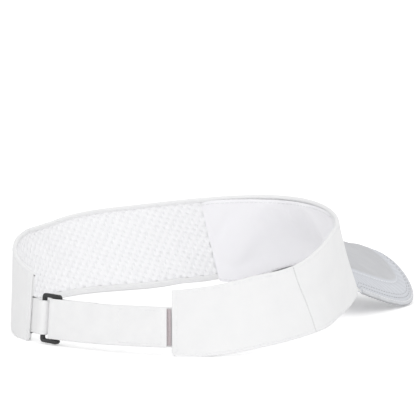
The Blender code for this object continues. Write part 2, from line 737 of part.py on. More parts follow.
def ring_tab():
    """Doubled tab sewn in the left rear end, with the ring's bar in its fold."""
    sewn = LEFT_END_ARC + STRAP_OVERLAP
    outer_at_bar = RING_OFFSET + TAB_FOLD_RADIUS
    inner_at_bar = RING_OFFSET - TAB_FOLD_RADIUS
    path = run(sewn, LEFT_END_ARC, TAB_OUTER_MIDDLE, TAB_OUTER_MIDDLE)
    path += run(LEFT_END_ARC, TAB_BAR_ARC, TAB_OUTER_MIDDLE, outer_at_bar)[1:]
    path += fold(TAB_BAR_ARC, TAB_FOLD_RADIUS, -1.0, 1.0)
    path += run(TAB_BAR_ARC, LEFT_END_ARC, inner_at_bar, TAB_INNER_MIDDLE)
    path += run(LEFT_END_ARC, sewn, TAB_INNER_MIDDLE, TAB_INNER_MIDDLE)[1:]

    def lift(arc):
        return RING_MIDDLE_HEIGHT - TAB_WIDTH / 2

    ribbon("ring_tab", path, TAB_THICKNESS, lift, TAB_WIDTH, STRAP_WHITE)


def slider_ring():
    """Rectangular ring with rounded corners. It turns about its bar in the tab."""
    angle = angle_at(TAB_BAR_ARC)
    up = wall_frame(angle)[1]
    centre = wall_point(angle, RING_OFFSET, RING_MIDDLE_HEIGHT)
    near = wall_point(angle_at(STRAP_BAR_ARC), RING_OFFSET, RING_MIDDLE_HEIGHT)
    across = near - centre
    across = unit(across - up * np.dot(across, up))
    face = np.cross(across, up)
    half_height = STRAP_WIDTH / 2 + RING_SLOT_CLEARANCE + RING_BAR_WIDTH / 2
    half_width = RING_BAR_SPACING / 2
    middle_point = centre + across * half_width
    corner = RING_CORNER
    loops = []
    for quarter in range(4):
        sx = (1, -1, -1, 1)[quarter]
        sy = (1, 1, -1, -1)[quarter]
        for step in range(RING_CORNER_STEPS + 1):
            turn = (quarter + step / RING_CORNER_STEPS) * math.pi / 2
            radial = across * math.cos(turn) + up * math.sin(turn)
            core = middle_point + across * sx * (half_width - corner) + up * sy * (half_height - corner)
            spine = core + radial * corner
            loop = []
            for k in range(RING_SIDES):
                a = (k + 0.5) * 2.0 * math.pi / RING_SIDES
                section_out = radial * math.cos(a) * RING_BAR_WIDTH / 2
                loop.append(spine + section_out + face * math.sin(a) * RING_BAR_DEPTH / 2)
            loops.append(loop)
    bm = bmesh.new()
    rings = [[bm.verts.new(at_rest(p)) for p in loop] for loop in loops]
    for one, two in zip(rings, rings[1:] + rings[:1]):
        for i in range(RING_SIDES):
            j = (i + 1) % RING_SIDES
            bm.faces.new((one[i], one[j], two[j], two[i]))
    add_object("slider_ring", bm, RING_BLACK, at_rest(centre))


def main():
    for obj in list(bpy.data.objects):
        bpy.data.objects.remove(obj, do_unlink=True)
    front_panel()
    rear_panel("right_rear_panel", 1)
    rear_panel("left_rear_panel", -1)
    front_buckram()
    sweatband()
    lining("right_mesh_lining", 1)
    lining("left_mesh_lining", -1)
    bottom_tape("right_bottom_tape", 1)
    bottom_tape("left_bottom_tape", -1)
    end_facing("right_end_facing", 1, RIGHT_FACING_OUTER)
    end_facing("left_end_facing", -1, LEFT_FACING_OUTER)
    brim()
    strap()
    ring_tab()
    slider_ring()


main()
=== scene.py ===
import math

import bpy
import numpy as np
from mathutils import Matrix

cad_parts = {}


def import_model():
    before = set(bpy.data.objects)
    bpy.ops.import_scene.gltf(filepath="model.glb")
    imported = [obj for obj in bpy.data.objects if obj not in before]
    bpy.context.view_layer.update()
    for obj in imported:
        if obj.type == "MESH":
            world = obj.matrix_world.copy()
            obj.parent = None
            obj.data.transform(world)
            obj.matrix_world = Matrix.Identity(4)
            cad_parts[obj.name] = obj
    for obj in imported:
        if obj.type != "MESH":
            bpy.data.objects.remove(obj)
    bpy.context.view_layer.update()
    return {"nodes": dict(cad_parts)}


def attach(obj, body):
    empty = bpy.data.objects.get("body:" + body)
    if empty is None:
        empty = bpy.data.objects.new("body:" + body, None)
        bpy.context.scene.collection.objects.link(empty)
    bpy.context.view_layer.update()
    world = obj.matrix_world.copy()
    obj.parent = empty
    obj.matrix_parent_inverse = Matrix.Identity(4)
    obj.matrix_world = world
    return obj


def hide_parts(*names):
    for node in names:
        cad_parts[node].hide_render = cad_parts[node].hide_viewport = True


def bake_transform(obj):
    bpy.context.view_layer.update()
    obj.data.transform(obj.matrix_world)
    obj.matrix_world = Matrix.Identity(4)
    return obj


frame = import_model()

# White sun visor, dressed over its solids: sewn cloth panels, mesh lining, padded sweatband,
# stitched brim and a webbing strap through a black ring. Metres, in the solids' own frame.
# The wall of the band is reached by an angle round the head (0 at the front centre, 90 at the
# wearer's right, 180 at the rear), an offset outward and a height up the wall.

MM = 0.001

# Plan and edges of the band's wall, as in the solids
LOWER_HALF_WIDTH, LOWER_HALF_LENGTH, LOWER_PINCH = 0.0851, 0.0975, 0.22
LOWER_TUCK, TUCK_END_ANGLE, TUCK_ROUNDNESS = 0.0074, 100.0, 1.3
UPPER_HALF_WIDTH, UPPER_HALF_LENGTH, UPPER_PINCH, UPPER_SHIFT = 0.0817, 0.0851, 0.23, 0.0068
REAR_END_ANGLE, CLOSURE_BULGE = 154.0, 0.5
LOWER_KNOTS = [(38.0, 0.0038), (60.0, 0.0022), (88.0, 0.0048), (120.0, 0.0036), (147.0, 0.0012),
               (154.0, 0.0015), (180.0, 0.0015)]
UPPER_KNOTS = [(0.0, 0.0494), (60.0, 0.0480), (88.0, 0.0475), (120.0, 0.0402), (154.0, 0.0345),
               (180.0, 0.0345)]
FRAME_REACH = 3.0
SEAM_LOWER_ANGLE, SEAM_UPPER_ANGLE = 103.2, 109.3
REST_PITCH = -0.081380584596
REST_SHIFT = np.array([0.0, 0.027675365, 0.005165384])

# Brim
BRIM_CORNER_ANGLE, BRIM_LENGTH, BRIM_SLOPE = 38.0, 0.0521, 19.15
BRIM_CORNER_HEIGHT, BRIM_ARCH_DROP, BRIM_TWIST = 0.0038, 0.0294, 0.078
BRIM_SQUARENESS, BRIM_END_SHARE = 4.0, 0.95
BRIM_THICKNESS = 0.0028

# Band layers, as offsets from the wall's outer face
PANEL_INNER = -0.0012
HEM_INNER = -0.00215
HEM_DEPTH = 0.0021
STITCH_INSET = 0.0015
STITCH_PITCH = 0.0025
REAR_RADIUS, END_ROW = 0.003, 0.0025
LINING_FACE = -0.0019
TAPE_MIDDLE, TAPE_HEIGHT, TAPE_LIFT = -0.00235, 0.0032, 0.0009
SWEATBAND_OUTER, SWEATBAND_END = -0.0022, 39.0
SWEATBAND_DROP, SWEATBAND_END_DROP, SWEATBAND_BEND = 0.0155, 0.0030, 0.008

# Strap, tab and ring
STRAP_WIDTH, STRAP_THICKNESS = 0.0200, 0.0012
STRAP_LIFT_PANEL, STRAP_LIFT_RING, TAIL_END_GAP = 0.0048, 0.0037, 0.0022
BASE_MIDDLE, LOOP_TAPE_MIDDLE, HOOK_TAPE_MIDDLE, TAIL_MIDDLE = -0.0021, -0.00085, 0.00015, 0.0014
TAB_WIDTH, TAB_THICKNESS = 0.0172, 0.0010
TAB_OUTER_MIDDLE, TAB_INNER_MIDDLE = -0.0020, -0.0033
RING_OFFSET, RING_SPACING, RING_BAR, RING_STRAP_BAR = -0.0008, 0.0076, 0.0020, 0.0050
STRAP_FOLD, TAB_FOLD = 0.0024, 0.0020
PATCH_THICKNESS, PATCH_SELVAGE = 0.0007, 0.0008
RING_PLATE, RING_CORNER, SLOT_CORNER, RING_EDGE = 0.0019, 0.0020, 0.0007, 0.00055


# ---- the wall of the band ----------------------------------------------------------------

def unit(vectors):
    return vectors / np.linalg.norm(vectors, axis=-1, keepdims=True)


def run_length(path):
    """Length run so far at each point of a path."""
    return np.concatenate([[0.0], np.cumsum(np.linalg.norm(np.diff(path, axis=0), axis=1))])


def ease(share):
    share = np.clip(share, 0.0, 1.0)
    return share * share * (3.0 - 2.0 * share)


def folded(angle):
    angle = np.mod(angle, 360.0)
    return np.minimum(angle, 360.0 - angle)


def smooth_curve(knots, angle, level_start):
    """Heights on a smooth curve through the knots, level at the last one."""
    xs, ys = np.array(knots).T
    slopes = np.gradient(ys, xs)
    slopes[-1] = 0.0
    if level_start:
        slopes[0] = 0.0
    i = np.clip(np.searchsorted(xs, angle) - 1, 0, len(xs) - 2)
    span = xs[i + 1] - xs[i]
    s = (angle - xs[i]) / span
    rise = ys[i + 1] - ys[i]
    bend = s * (1 - s) * ((1 - s) * (slopes[i] * span - rise) - s * (slopes[i + 1] * span - rise))
    return ys[i] + s * rise + bend


def egg(angle, half_width, half_length, pinch, shift):
    """Plan of an edge, narrower in front, and flatter between the rear ends."""
    a = np.radians(angle)
    x = -half_width * np.sin(a) * (1.0 - pinch * np.cos(a))
    y = shift - half_length * np.cos(a)
    y_end = shift - half_length * math.cos(math.radians(REAR_END_ANGLE))
    return x, np.where(folded(angle) > REAR_END_ANGLE, y_end + CLOSURE_BULGE * (y - y_end), y)


def lower_plan(angle):
    """Plan of the lower edge, tucked in towards the head behind the brim's corners."""
    x, y = egg(angle, LOWER_HALF_WIDTH, LOWER_HALF_LENGTH, LOWER_PINCH, 0.0)
    share = np.clip((folded(angle) - BRIM_CORNER_ANGLE) / (TUCK_END_ANGLE - BRIM_CORNER_ANGLE), 0.0, 1.0)
    return x - np.sign(x) * LOWER_TUCK * np.maximum(np.sin(np.pi * share), 0.0) ** TUCK_ROUNDNESS, y


CORNER_X = abs(float(lower_plan(np.array(BRIM_CORNER_ANGLE))[0]))
CORNER_Y = float(lower_plan(np.array(BRIM_CORNER_ANGLE))[1])
FRONT_Y = float(lower_plan(np.array(0.0))[1])
ARCH = BRIM_ARCH_DROP / CORNER_X ** 2
BRIM_FALL = math.tan(math.radians(BRIM_SLOPE))


def brim_height(x, y):
    fall = BRIM_FALL + BRIM_TWIST * (x / CORNER_X) ** 2
    return BRIM_CORNER_HEIGHT + ARCH * (CORNER_X ** 2 - x * x) + fall * (y - CORNER_Y)


def brim_normal(x, y):
    fall = BRIM_FALL + BRIM_TWIST * (x / CORNER_X) ** 2
    side_slope = 2.0 * x * (BRIM_TWIST * (y - CORNER_Y) / CORNER_X ** 2 - ARCH)
    return unit(np.stack([-side_slope, -fall, np.ones_like(x)], axis=-1))


def lower_edge(angle):
    x, y = lower_plan(angle)
    turn = folded(angle)
    free = smooth_curve(LOWER_KNOTS, np.maximum(turn, BRIM_CORNER_ANGLE), False)
    return np.stack([x, y, np.where(turn < BRIM_CORNER_ANGLE, brim_height(x, y), free)], axis=-1)


def upper_edge(angle):
    x, y = egg(angle, UPPER_HALF_WIDTH, UPPER_HALF_LENGTH, UPPER_PINCH, UPPER_SHIFT)
    return np.stack([x, y, smooth_curve(UPPER_KNOTS, folded(angle), True)], axis=-1)


def middle(angle):
    return 0.5 * (lower_edge(angle) + upper_edge(angle))


ROUND = np.linspace(0.0, 360.0, 3601)
FOOT = lower_edge(ROUND)
RISE = upper_edge(ROUND) - FOOT
HEIGHT = np.linalg.norm(RISE, axis=1)
UP = unit(RISE)
OUT = unit(np.cross(UP, middle(ROUND + FRAME_REACH) - middle(ROUND - FRAME_REACH)))
ARC = run_length(middle(ROUND))


def on_wall(table, angle):
    """Table of the wall read at the given angles."""
    turn = np.mod(angle, 360.0)
    return np.stack([np.interp(turn, ROUND, column) for column in table.T], axis=-1)


LEFT_RIM_ANGLES = (95.0, 102.0, 110.0, 120.0, 130.0, 140.0, 145.0, 150.0, 158.0)
LEFT_RIM_LIFTS = (0.0, 0.0013, 0.0036, 0.0050, 0.0048, 0.0042, 0.0036, 0.0028, 0.0018)
RIGHT_RIM_ANGLES = (77.0, 84.0, 90.0, 96.0, 102.0, 108.0, 114.0, 119.0, 126.0)
RIGHT_RIM_DROPS = (0.0, 0.0016, 0.0025, 0.0031, 0.0035, 0.0034, 0.0024, 0.0013, 0.0)


def wall(angle, offset, height):
    """Point on the wall. Worn cloth: the rim stands higher at the left rear and sinks at the right side."""
    angle, offset, height = np.broadcast_arrays(angle, offset, height)
    turn = np.mod(np.asarray(angle, float), 360.0)
    lift = np.interp(360.0 - turn, LEFT_RIM_ANGLES, LEFT_RIM_LIFTS) * (turn > 180.0)
    drop = np.interp(turn, RIGHT_RIM_ANGLES, RIGHT_RIM_DROPS)
    height = height + lift * ease((height - 0.020) / 0.016) - drop * ease((height - 0.014) / 0.020)
    return (on_wall(FOOT, angle) + on_wall(UP, angle) * height[..., None]
            + on_wall(OUT, angle) * offset[..., None])


def wall_height(angle):
    return np.interp(np.mod(angle, 360.0), ROUND, HEIGHT)


def arc_at(angle):
    return np.interp(angle, ROUND, ARC)


def angle_at(arc):
    """Angle at an arc length from the front centre. Minus is round the wearer's left."""
    arc = np.asarray(arc)
    return np.sign(arc) * np.interp(np.abs(arc), ARC, ROUND)


RIGHT_END = float(arc_at(REAR_END_ANGLE))
LEFT_END = float(arc_at(360.0 - REAR_END_ANGLE))
TAB_BAR = LEFT_END - 0.0100
STRAP_BAR = TAB_BAR - RING_SPACING
PEEL = STRAP_BAR - 0.011
FACING = RIGHT_END - 0.0085


def strap_lift(arc):
    share = (arc - RIGHT_END) / (STRAP_BAR - RIGHT_END)
    return STRAP_LIFT_PANEL + (STRAP_LIFT_RING - STRAP_LIFT_PANEL) * share


RING_MIDDLE = float(strap_lift(STRAP_BAR)) + STRAP_WIDTH / 2


def brim_clear(angle, offset):
    """Height up the wall where a layer at this offset clears the top of the brim."""
    angle = np.asarray(angle, float)
    height = np.zeros_like(angle)
    for _ in range(20):
        p = wall(angle, offset, height)
        x, y, z = p[..., 0], p[..., 1], p[..., 2]
        height = height + brim_height(x, y) + 0.0003 / brim_normal(x, y)[..., 2] - z
    return np.where(folded(angle) < BRIM_CORNER_ANGLE, np.maximum(height, 0.0), 0.0)


def turned(points):
    c, s = math.cos(REST_PITCH), math.sin(REST_PITCH)
    x, y, z = np.moveaxis(points, -1, 0)
    return np.stack([x, c * y - s * z, s * y + c * z], axis=-1)


def at_rest(points):
    """Places on the table, flattened where a piece touches it."""
    points = turned(points) + REST_SHIFT
    points[..., 2] = np.maximum(points[..., 2], 0.00005)
    return points


def at_rest_direction(vectors):
    return turned(np.asarray(vectors, float))


# ---- meshes ------------------------------------------------------------------------------

def start_grid(name, columns, rows):
    bpy.ops.object.select_all(action="DESELECT")
    bpy.ops.mesh.primitive_grid_add(x_subdivisions=columns, y_subdivisions=rows, size=1.0)
    piece = bpy.context.object
    piece.name = name
    piece.data.name = name
    return piece


def select_only(piece):
    bpy.ops.object.select_all(action="DESELECT")
    bpy.context.view_layer.objects.active = piece
    piece.select_set(True)


def mesh_piece(name, points, faces):
    mesh = bpy.data.meshes.new(name)
    mesh.from_pydata(np.concatenate(points).tolist(), [], faces)
    piece = bpy.data.objects.new(name, mesh)
    bpy.context.collection.objects.link(piece)
    return piece


def cloth_uv(along, across):
    return np.stack(np.broadcast_arrays(along, across), axis=-1)


def edit(piece, *steps):
    """Edit-mode operators, run on the whole mesh in turn."""
    select_only(piece)
    bpy.ops.object.mode_set(mode="EDIT")
    bpy.ops.mesh.select_all(action="SELECT")
    for step in steps:
        step()
    bpy.ops.object.mode_set(mode="OBJECT")


def apply(piece, kind, **settings):
    select_only(piece)
    modifier = piece.modifiers.new(kind.lower(), kind)
    for key, value in settings.items():
        setattr(modifier, key, value)
    bpy.ops.object.modifier_apply(modifier=modifier.name)


def smooth(piece, angle=60.0):
    select_only(piece)
    bpy.ops.object.shade_smooth_by_angle(angle=math.radians(angle))


def lay(piece, points, uv):
    """Puts a grid's points in place, row by row, and lays its cloth coordinates, in millimetres."""
    mesh = piece.data
    mesh.vertices.foreach_set("co", at_rest(points).astype(np.float32).ravel())
    corner = np.empty(len(mesh.loops), np.int32)
    mesh.loops.foreach_get("vertex_index", corner)
    flat = (uv.reshape(-1, 2) * 1000.0).astype(np.float32)
    mesh.uv_layers.active.name = "cloth"
    mesh.uv_layers.active.uv.foreach_set("vector", flat[corner].ravel())
    mesh.update()


def surface(name, points, uv):
    """Open sheet over a grid of points: rows by columns."""
    piece = start_grid(name, points.shape[1] - 1, points.shape[0] - 1)
    lay(piece, points, uv)
    return piece


def tube(name, points, uv):
    """Closed skin over rows that run once round a section, with both ends filled."""
    piece = surface(name, points, uv)
    edit(piece,
         lambda: bpy.ops.mesh.remove_doubles(threshold=1e-7),
         lambda: bpy.ops.mesh.fill_holes(sides=0),
         lambda: bpy.ops.mesh.normals_make_consistent(inside=False))
    smooth(piece)
    return piece


def thicken(piece, thickness, offset=0.0):
    apply(piece, "SOLIDIFY", thickness=thickness, offset=offset, use_even_offset=False)
    edit(piece, lambda: bpy.ops.mesh.normals_make_consistent(inside=False))
    smooth(piece)


def dress(piece, finish, body="visor", stands_for=()):
    piece.data.materials.clear()
    piece.data.materials.append(finish)
    if stands_for:
        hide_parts(*stands_for)
    if body:
        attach(piece, body)


# ---- finishes ----------------------------------------------------------------------------

class Finish:
    """Node tree of one finish, with its Principled shader."""

    def __init__(self, name, roughness, specular, sheen=0.0, sheen_roughness=0.5):
        self.material = bpy.data.materials.new(name)
        self.material.use_nodes = True
        self.nodes = self.material.node_tree.nodes
        self.links = self.material.node_tree.links
        self.shader = self.nodes["Principled BSDF"]
        self.shader.inputs["Roughness"].default_value = roughness
        self.shader.inputs["Specular IOR Level"].default_value = specular
        self.shader.inputs["Sheen Weight"].default_value = sheen
        self.shader.inputs["Sheen Roughness"].default_value = sheen_roughness

    def put(self, socket, value):
        if isinstance(value, bpy.types.NodeSocket):
            self.links.new(value, socket)
        else:
            socket.default_value = value

    def math(self, operation, a, b=0.0):
        node = self.nodes.new("ShaderNodeMath")
        node.operation = operation
        self.put(node.inputs[0], a)
        self.put(node.inputs[1], b)
        return node.outputs[0]

    def cloth(self):
        coordinates = self.nodes.new("ShaderNodeTexCoord")
        split = self.nodes.new("ShaderNodeSeparateXYZ")
        self.links.new(coordinates.outputs["UV"], split.inputs[0])
        return coordinates.outputs["UV"], split.outputs[0], split.outputs[1]

    def place(self):
        return self.nodes.new("ShaderNodeTexCoord").outputs["Object"]

    def wave(self, along, pitch):
        return self.math("SINE", self.math("MULTIPLY", along, 2.0 * math.pi / pitch))

    def noise(self, vector, scale, detail=3.0, roughness=0.55):
        node = self.nodes.new("ShaderNodeTexNoise")
        self.links.new(vector, node.inputs["Vector"])
        node.inputs["Scale"].default_value = scale
        node.inputs["Detail"].default_value = detail
        node.inputs["Roughness"].default_value = roughness
        return node.outputs["Fac"]

    def attribute(self, name):
        node = self.nodes.new("ShaderNodeAttribute")
        node.attribute_name = name
        return node.outputs["Fac"]

    def tone(self, share, stops):
        """Base colour from a 0 to 1 value, through colour stops."""
        ramp = self.nodes.new("ShaderNodeValToRGB")
        self.links.new(share, ramp.inputs["Fac"])
        bar = ramp.color_ramp.elements
        while len(bar) < len(stops):
            bar.new(0.5)
        for element, (position, colour) in zip(bar, stops):
            element.position = position
            element.color = (*colour, 1.0)
        self.links.new(ramp.outputs["Color"], self.shader.inputs["Base Color"])

    def gloss(self, share, low, high):
        node = self.nodes.new("ShaderNodeMapRange")
        self.links.new(share, node.inputs["Value"])
        node.inputs["To Min"].default_value = low
        node.inputs["To Max"].default_value = high
        self.links.new(node.outputs["Result"], self.shader.inputs["Roughness"])

    def bump(self, height, depth):
        node = self.nodes.new("ShaderNodeBump")
        node.inputs["Strength"].default_value = 1.0
        node.inputs["Distance"].default_value = depth
        self.links.new(height, node.inputs["Height"])
        self.links.new(node.outputs["Normal"], self.shader.inputs["Normal"])


def plain_weave(finish, u, v, uv, pitch, fuzz):
    """Height of an over-and-under weave with uneven threads."""
    weave = finish.math("MULTIPLY", finish.wave(u, pitch), finish.wave(v, pitch))
    uneven = finish.noise(uv, fuzz, 4.0, 0.6)
    return finish.math("ADD", finish.math("MULTIPLY", weave, 0.5), uneven)


def shell_finish():
    f = Finish("white_shell_cloth", 0.82, 0.25, 0.12, 0.5)
    uv, u, v = f.cloth()
    height = plain_weave(f, u, v, uv, 0.55, 2.2)
    f.tone(f.noise(uv, 0.09, 5.0, 0.6), [(0.25, (0.838, 0.839, 0.845)), (0.75, (0.870, 0.870, 0.872))])
    f.gloss(f.noise(uv, 1.4, 3.0), 0.76, 0.90)
    f.bump(height, 0.00006)
    return f.material


def mesh_finish():
    f = Finish("white_mesh_knit", 0.85, 0.2, 0.1, 0.5)
    uv, u, v = f.cloth()
    knit = f.math("ADD", f.math("MULTIPLY", f.wave(u, 0.4), 0.4), f.noise(uv, 3.0, 3.0))
    f.tone(f.noise(uv, 0.12, 4.0), [(0.25, (0.945, 0.944, 0.960)), (0.75, (0.968, 0.967, 0.978))])
    f.gloss(f.noise(uv, 1.2, 2.0), 0.78, 0.92)
    f.bump(knit, 0.00005)
    return f.material


def knit_finish():
    f = Finish("white_sweatband_knit", 0.88, 0.18, 0.18, 0.6)
    uv, u, v = f.cloth()
    ribs = f.math("ABSOLUTE", f.wave(u, 1.1))
    loops = f.math("MULTIPLY", f.wave(v, 0.7), 0.35)
    knit = f.math("ADD", f.math("ADD", f.math("MULTIPLY", ribs, 0.6), loops), f.noise(uv, 2.5, 3.0))
    f.tone(f.noise(uv, 0.1, 4.0), [(0.25, (0.952, 0.946, 0.976)), (0.75, (0.974, 0.969, 0.990))])
    f.gloss(f.noise(uv, 1.0, 2.0), 0.82, 0.94)
    f.bump(knit, 0.00006)
    return f.material


def brim_finish():
    f = Finish("pale_brim_twill_painted_shade", 0.72, 0.3, 0.1, 0.4)
    uv, u, v = f.cloth()
    twill = f.wave(f.math("ADD", u, v), 0.9)
    ribs = f.math("MULTIPLY", f.wave(u, 4.2), f.attribute("ribs"))
    height = f.math("ADD", f.math("MULTIPLY", twill, 0.45), f.noise(uv, 1.8, 4.0, 0.6))
    height = f.math("ADD", height, f.math("MULTIPLY", ribs, 1.6))
    # Painted shade: the strip attribute paints the inner zone by the band darker, as the band's shadow, and the
    # outer strip lighter. The noise adds random tone.
    shade = f.math("ADD", f.attribute("strip"), f.math("MULTIPLY", f.noise(uv, 0.16, 5.0, 0.6), 0.3))
    # Painted shade on the ribs: their crests are painted lighter and their valleys darker, over the bump of the same
    # ribs.
    shade = f.math("ADD", shade, f.math("MULTIPLY", ribs, 0.14))
    # The light top stop is reached mostly by the painted highlight along the welt.
    f.tone(shade, [(0.05, (0.515, 0.520, 0.537)), (0.25, (0.582, 0.587, 0.607)), (0.55, (0.600, 0.615, 0.653)),
                   (0.85, (0.665, 0.681, 0.722)), (1.00, (0.850, 0.858, 0.875))])
    f.gloss(f.noise(uv, 0.9, 3.0), 0.64, 0.82)
    f.bump(height, 0.00007)
    return f.material


def binding_finish():
    f = Finish("grey_binding_painted_edge_shade", 0.78, 0.25, 0.1, 0.5)
    uv, u, v = f.cloth()
    ribs = f.wave(u, 0.7)
    height = f.math("ADD", f.math("MULTIPLY", ribs, 0.5), f.noise(uv, 2.0, 3.0))
    # Painted shade: nose is a band along the binding's round outer edge, painted darker as the shade where the edge
    # turns away from the light.
    nose = f.math("SUBTRACT", 1.0, f.math("DIVIDE", f.math("ABSOLUTE", f.math("SUBTRACT", v, 3.23)), 1.1))
    shade = f.math("SUBTRACT", f.noise(uv, 0.3, 4.0), f.math("MAXIMUM", nose, 0.0))
    f.tone(shade, [(0.0, (0.470, 0.475, 0.490)), (0.3, (0.610, 0.618, 0.640)), (0.7, (0.680, 0.690, 0.715))])
    f.gloss(f.noise(uv, 1.0, 2.0), 0.70, 0.86)
    f.bump(height, 0.00008)
    return f.material


def webbing_finish():
    f = Finish("white_webbing", 0.74, 0.3, 0.1, 0.45)
    uv, u, v = f.cloth()
    weave = f.math("MULTIPLY", f.wave(u, 0.9), f.wave(v, 0.6))
    height = f.math("ADD", f.math("MULTIPLY", weave, 0.6), f.noise(uv, 2.4, 3.0))
    f.tone(f.noise(uv, 0.14, 4.0), [(0.3, (0.850, 0.850, 0.856)), (0.7, (0.885, 0.885, 0.888))])
    f.gloss(f.noise(uv, 1.1, 2.0), 0.66, 0.84)
    f.bump(height, 0.00007)
    return f.material


def fastener_finish(name, dark, light, pitch, depth):
    """Hook or loop tape: rows of small tufts."""
    f = Finish(name, 0.92, 0.15, 0.3, 0.6)
    uv, u, v = f.cloth()
    rows = f.math("MULTIPLY", f.math("ABSOLUTE", f.wave(u, pitch)), f.math("ABSOLUTE", f.wave(v, pitch)))
    tufts = f.math("ADD", rows, f.noise(uv, 3.5, 5.0, 0.7))
    f.tone(f.noise(uv, 1.6, 5.0, 0.65), [(0.3, dark), (0.7, light)])
    f.gloss(f.noise(uv, 2.0, 2.0), 0.86, 0.97)
    f.bump(tufts, depth)
    return f.material


def gauze_finish():
    f = Finish("stiff_gauze", 0.8, 0.2)
    uv, u, v = f.cloth()
    height = plain_weave(f, u, v, uv, 1.2, 1.5)
    f.tone(f.noise(uv, 0.3, 4.0), [(0.3, (0.70, 0.70, 0.68)), (0.7, (0.80, 0.80, 0.78))])
    f.gloss(f.noise(uv, 1.0, 2.0), 0.7, 0.9)
    f.bump(height, 0.00012)
    return f.material


def board_finish():
    f = Finish("moulded_board", 0.5, 0.4)
    at = f.place()
    grain = f.noise(at, 900.0, 4.0, 0.6)
    f.tone(f.noise(at, 60.0, 4.0), [(0.3, (0.70, 0.70, 0.69)), (0.7, (0.78, 0.78, 0.77))])
    f.gloss(f.noise(at, 250.0, 3.0), 0.42, 0.6)
    f.bump(grain, 0.00005)
    return f.material


def ring_finish():
    f = Finish("black_ring_plastic", 0.35, 0.5)
    at = f.place()
    grain = f.noise(at, 2600.0, 3.0, 0.6)
    f.tone(f.noise(at, 300.0, 4.0), [(0.3, (0.009, 0.009, 0.010)), (0.75, (0.020, 0.020, 0.022))])
    f.gloss(f.noise(at, 700.0, 3.0), 0.28, 0.46)
    f.bump(grain, 0.00002)
    return f.material


def thread_finish(name, dark, light):
    f = Finish(name, 0.7, 0.35, 0.1, 0.4)
    at = f.place()
    twist = f.noise(at, 3200.0, 2.0)
    f.tone(f.noise(at, 500.0, 3.0), [(0.3, dark), (0.7, light)])
    f.gloss(twist, 0.58, 0.8)
    f.bump(twist, 0.00003)
    return f.material


SHELL = shell_finish()
MESH = mesh_finish()
KNIT = knit_finish()
BRIM = brim_finish()
BINDING = binding_finish()
WEBBING = webbing_finish()
LOOP_TAPE = fastener_finish("mauve_grey_loop_tape", (0.64, 0.56, 0.58), (0.78, 0.70, 0.72), 1.1, 0.0002)
HOOK_TAPE = fastener_finish("white_hook_tape", (0.66, 0.65, 0.66), (0.80, 0.79, 0.80), 1.3, 0.00025)
GAUZE = gauze_finish()
BOARD = board_finish()
RING = ring_finish()
THREAD = thread_finish("white_thread", (0.80, 0.80, 0.82), (0.90, 0.90, 0.91))
BRIM_THREAD = thread_finish("pale_thread", (0.80, 0.81, 0.83), (0.88, 0.89, 0.91))
# Painted shade: the two stitch rows near the brim's edge get dark grey thread, standing in for the shade in their
# grooves.
BRIM_GROOVE_SHADE_THREAD = thread_finish("edge_row_thread_painted_groove_shade", (0.36, 0.365, 0.38), (0.46, 0.465, 0.48))


# ---- stitches ----------------------------------------------------------------------------

def one_stitch():
    """One stitch of thread: a short strand whose ends dip into the cloth. Points and faces."""
    bpy.ops.object.select_all(action="DESELECT")
    bpy.ops.mesh.primitive_cylinder_add(vertices=6, radius=0.00019, depth=0.0011, rotation=(0, math.pi / 2, 0))
    strand = bpy.context.object
    bpy.ops.object.transform_apply(rotation=True)
    bpy.ops.object.mode_set(mode="EDIT")
    for side in (-1.0, 1.0):
        bpy.ops.mesh.select_all(action="DESELECT")
        bpy.ops.object.mode_set(mode="OBJECT")
        for face in strand.data.polygons:
            face.select = face.normal.x * side > 0.9
        bpy.ops.object.mode_set(mode="EDIT")
        bpy.ops.mesh.select_mode(type="FACE")
        bpy.ops.mesh.extrude_region_move(TRANSFORM_OT_translate={"value": (side * 0.00042, 0.0, -0.00020)})
        bpy.ops.transform.resize(value=(1.0, 0.55, 0.55))
    bpy.ops.object.mode_set(mode="OBJECT")
    points = np.array([v.co for v in strand.data.vertices])
    faces = [tuple(face.vertices) for face in strand.data.polygons]
    bpy.data.meshes.remove(strand.data)
    return points, faces


STITCH_POINTS, STITCH_FACES = one_stitch()


def along_path(path, pitch):
    """Even places along a path of points: their index share on the path."""
    run = run_length(path)
    count = max(1, int(run[-1] / pitch))
    return (np.arange(count) + 0.5) * (run[-1] / count), run


def stitch_rows(name, rows, finish, body="visor"):
    """Rows of stitches in one piece. A row is its path, its outward directions and its pitch."""
    points, faces, base = [], [], 0
    for path, outward, pitch in rows:
        at, run = along_path(path, pitch)
        centre = np.stack([np.interp(at, run, c) for c in path.T], axis=-1)
        ahead = np.stack([np.interp(at + 0.0004, run, c) - np.interp(at - 0.0004, run, c)
                          for c in path.T], axis=-1)
        normal = np.stack([np.interp(at, run, c) for c in outward.T], axis=-1)
        tangent = unit(ahead)
        normal = unit(normal - tangent * np.sum(normal * tangent, axis=-1, keepdims=True))
        side = np.cross(normal, tangent)
        scale = pitch / STITCH_PITCH
        local = STITCH_POINTS
        placed = (centre[:, None] + tangent[:, None] * local[None, :, 0:1] * scale
                  + side[:, None] * local[None, :, 1:2] + normal[:, None] * local[None, :, 2:3])
        points.append(placed.reshape(-1, 3))
        for k in range(len(at)):
            faces += [tuple(base + k * len(local) + i for i in face) for face in STITCH_FACES]
        base += len(at) * len(local)
    piece = mesh_piece(name, points, faces)
    edit(piece, lambda: bpy.ops.mesh.normals_make_consistent(inside=False))
    smooth(piece)
    dress(piece, finish, body)


def wall_row(angle, offset, height, inside=False):
    """Path and outward directions of a stitch row on the wall."""
    path = at_rest(wall(angle, offset, height))
    outward = at_rest_direction(on_wall(OUT, np.broadcast_to(angle, np.shape(height))))
    return path, -outward if inside else outward


# ---- shell panels ------------------------------------------------------------------------

def groove(distance, width=0.00042):
    return np.exp(-(distance / width) ** 2)


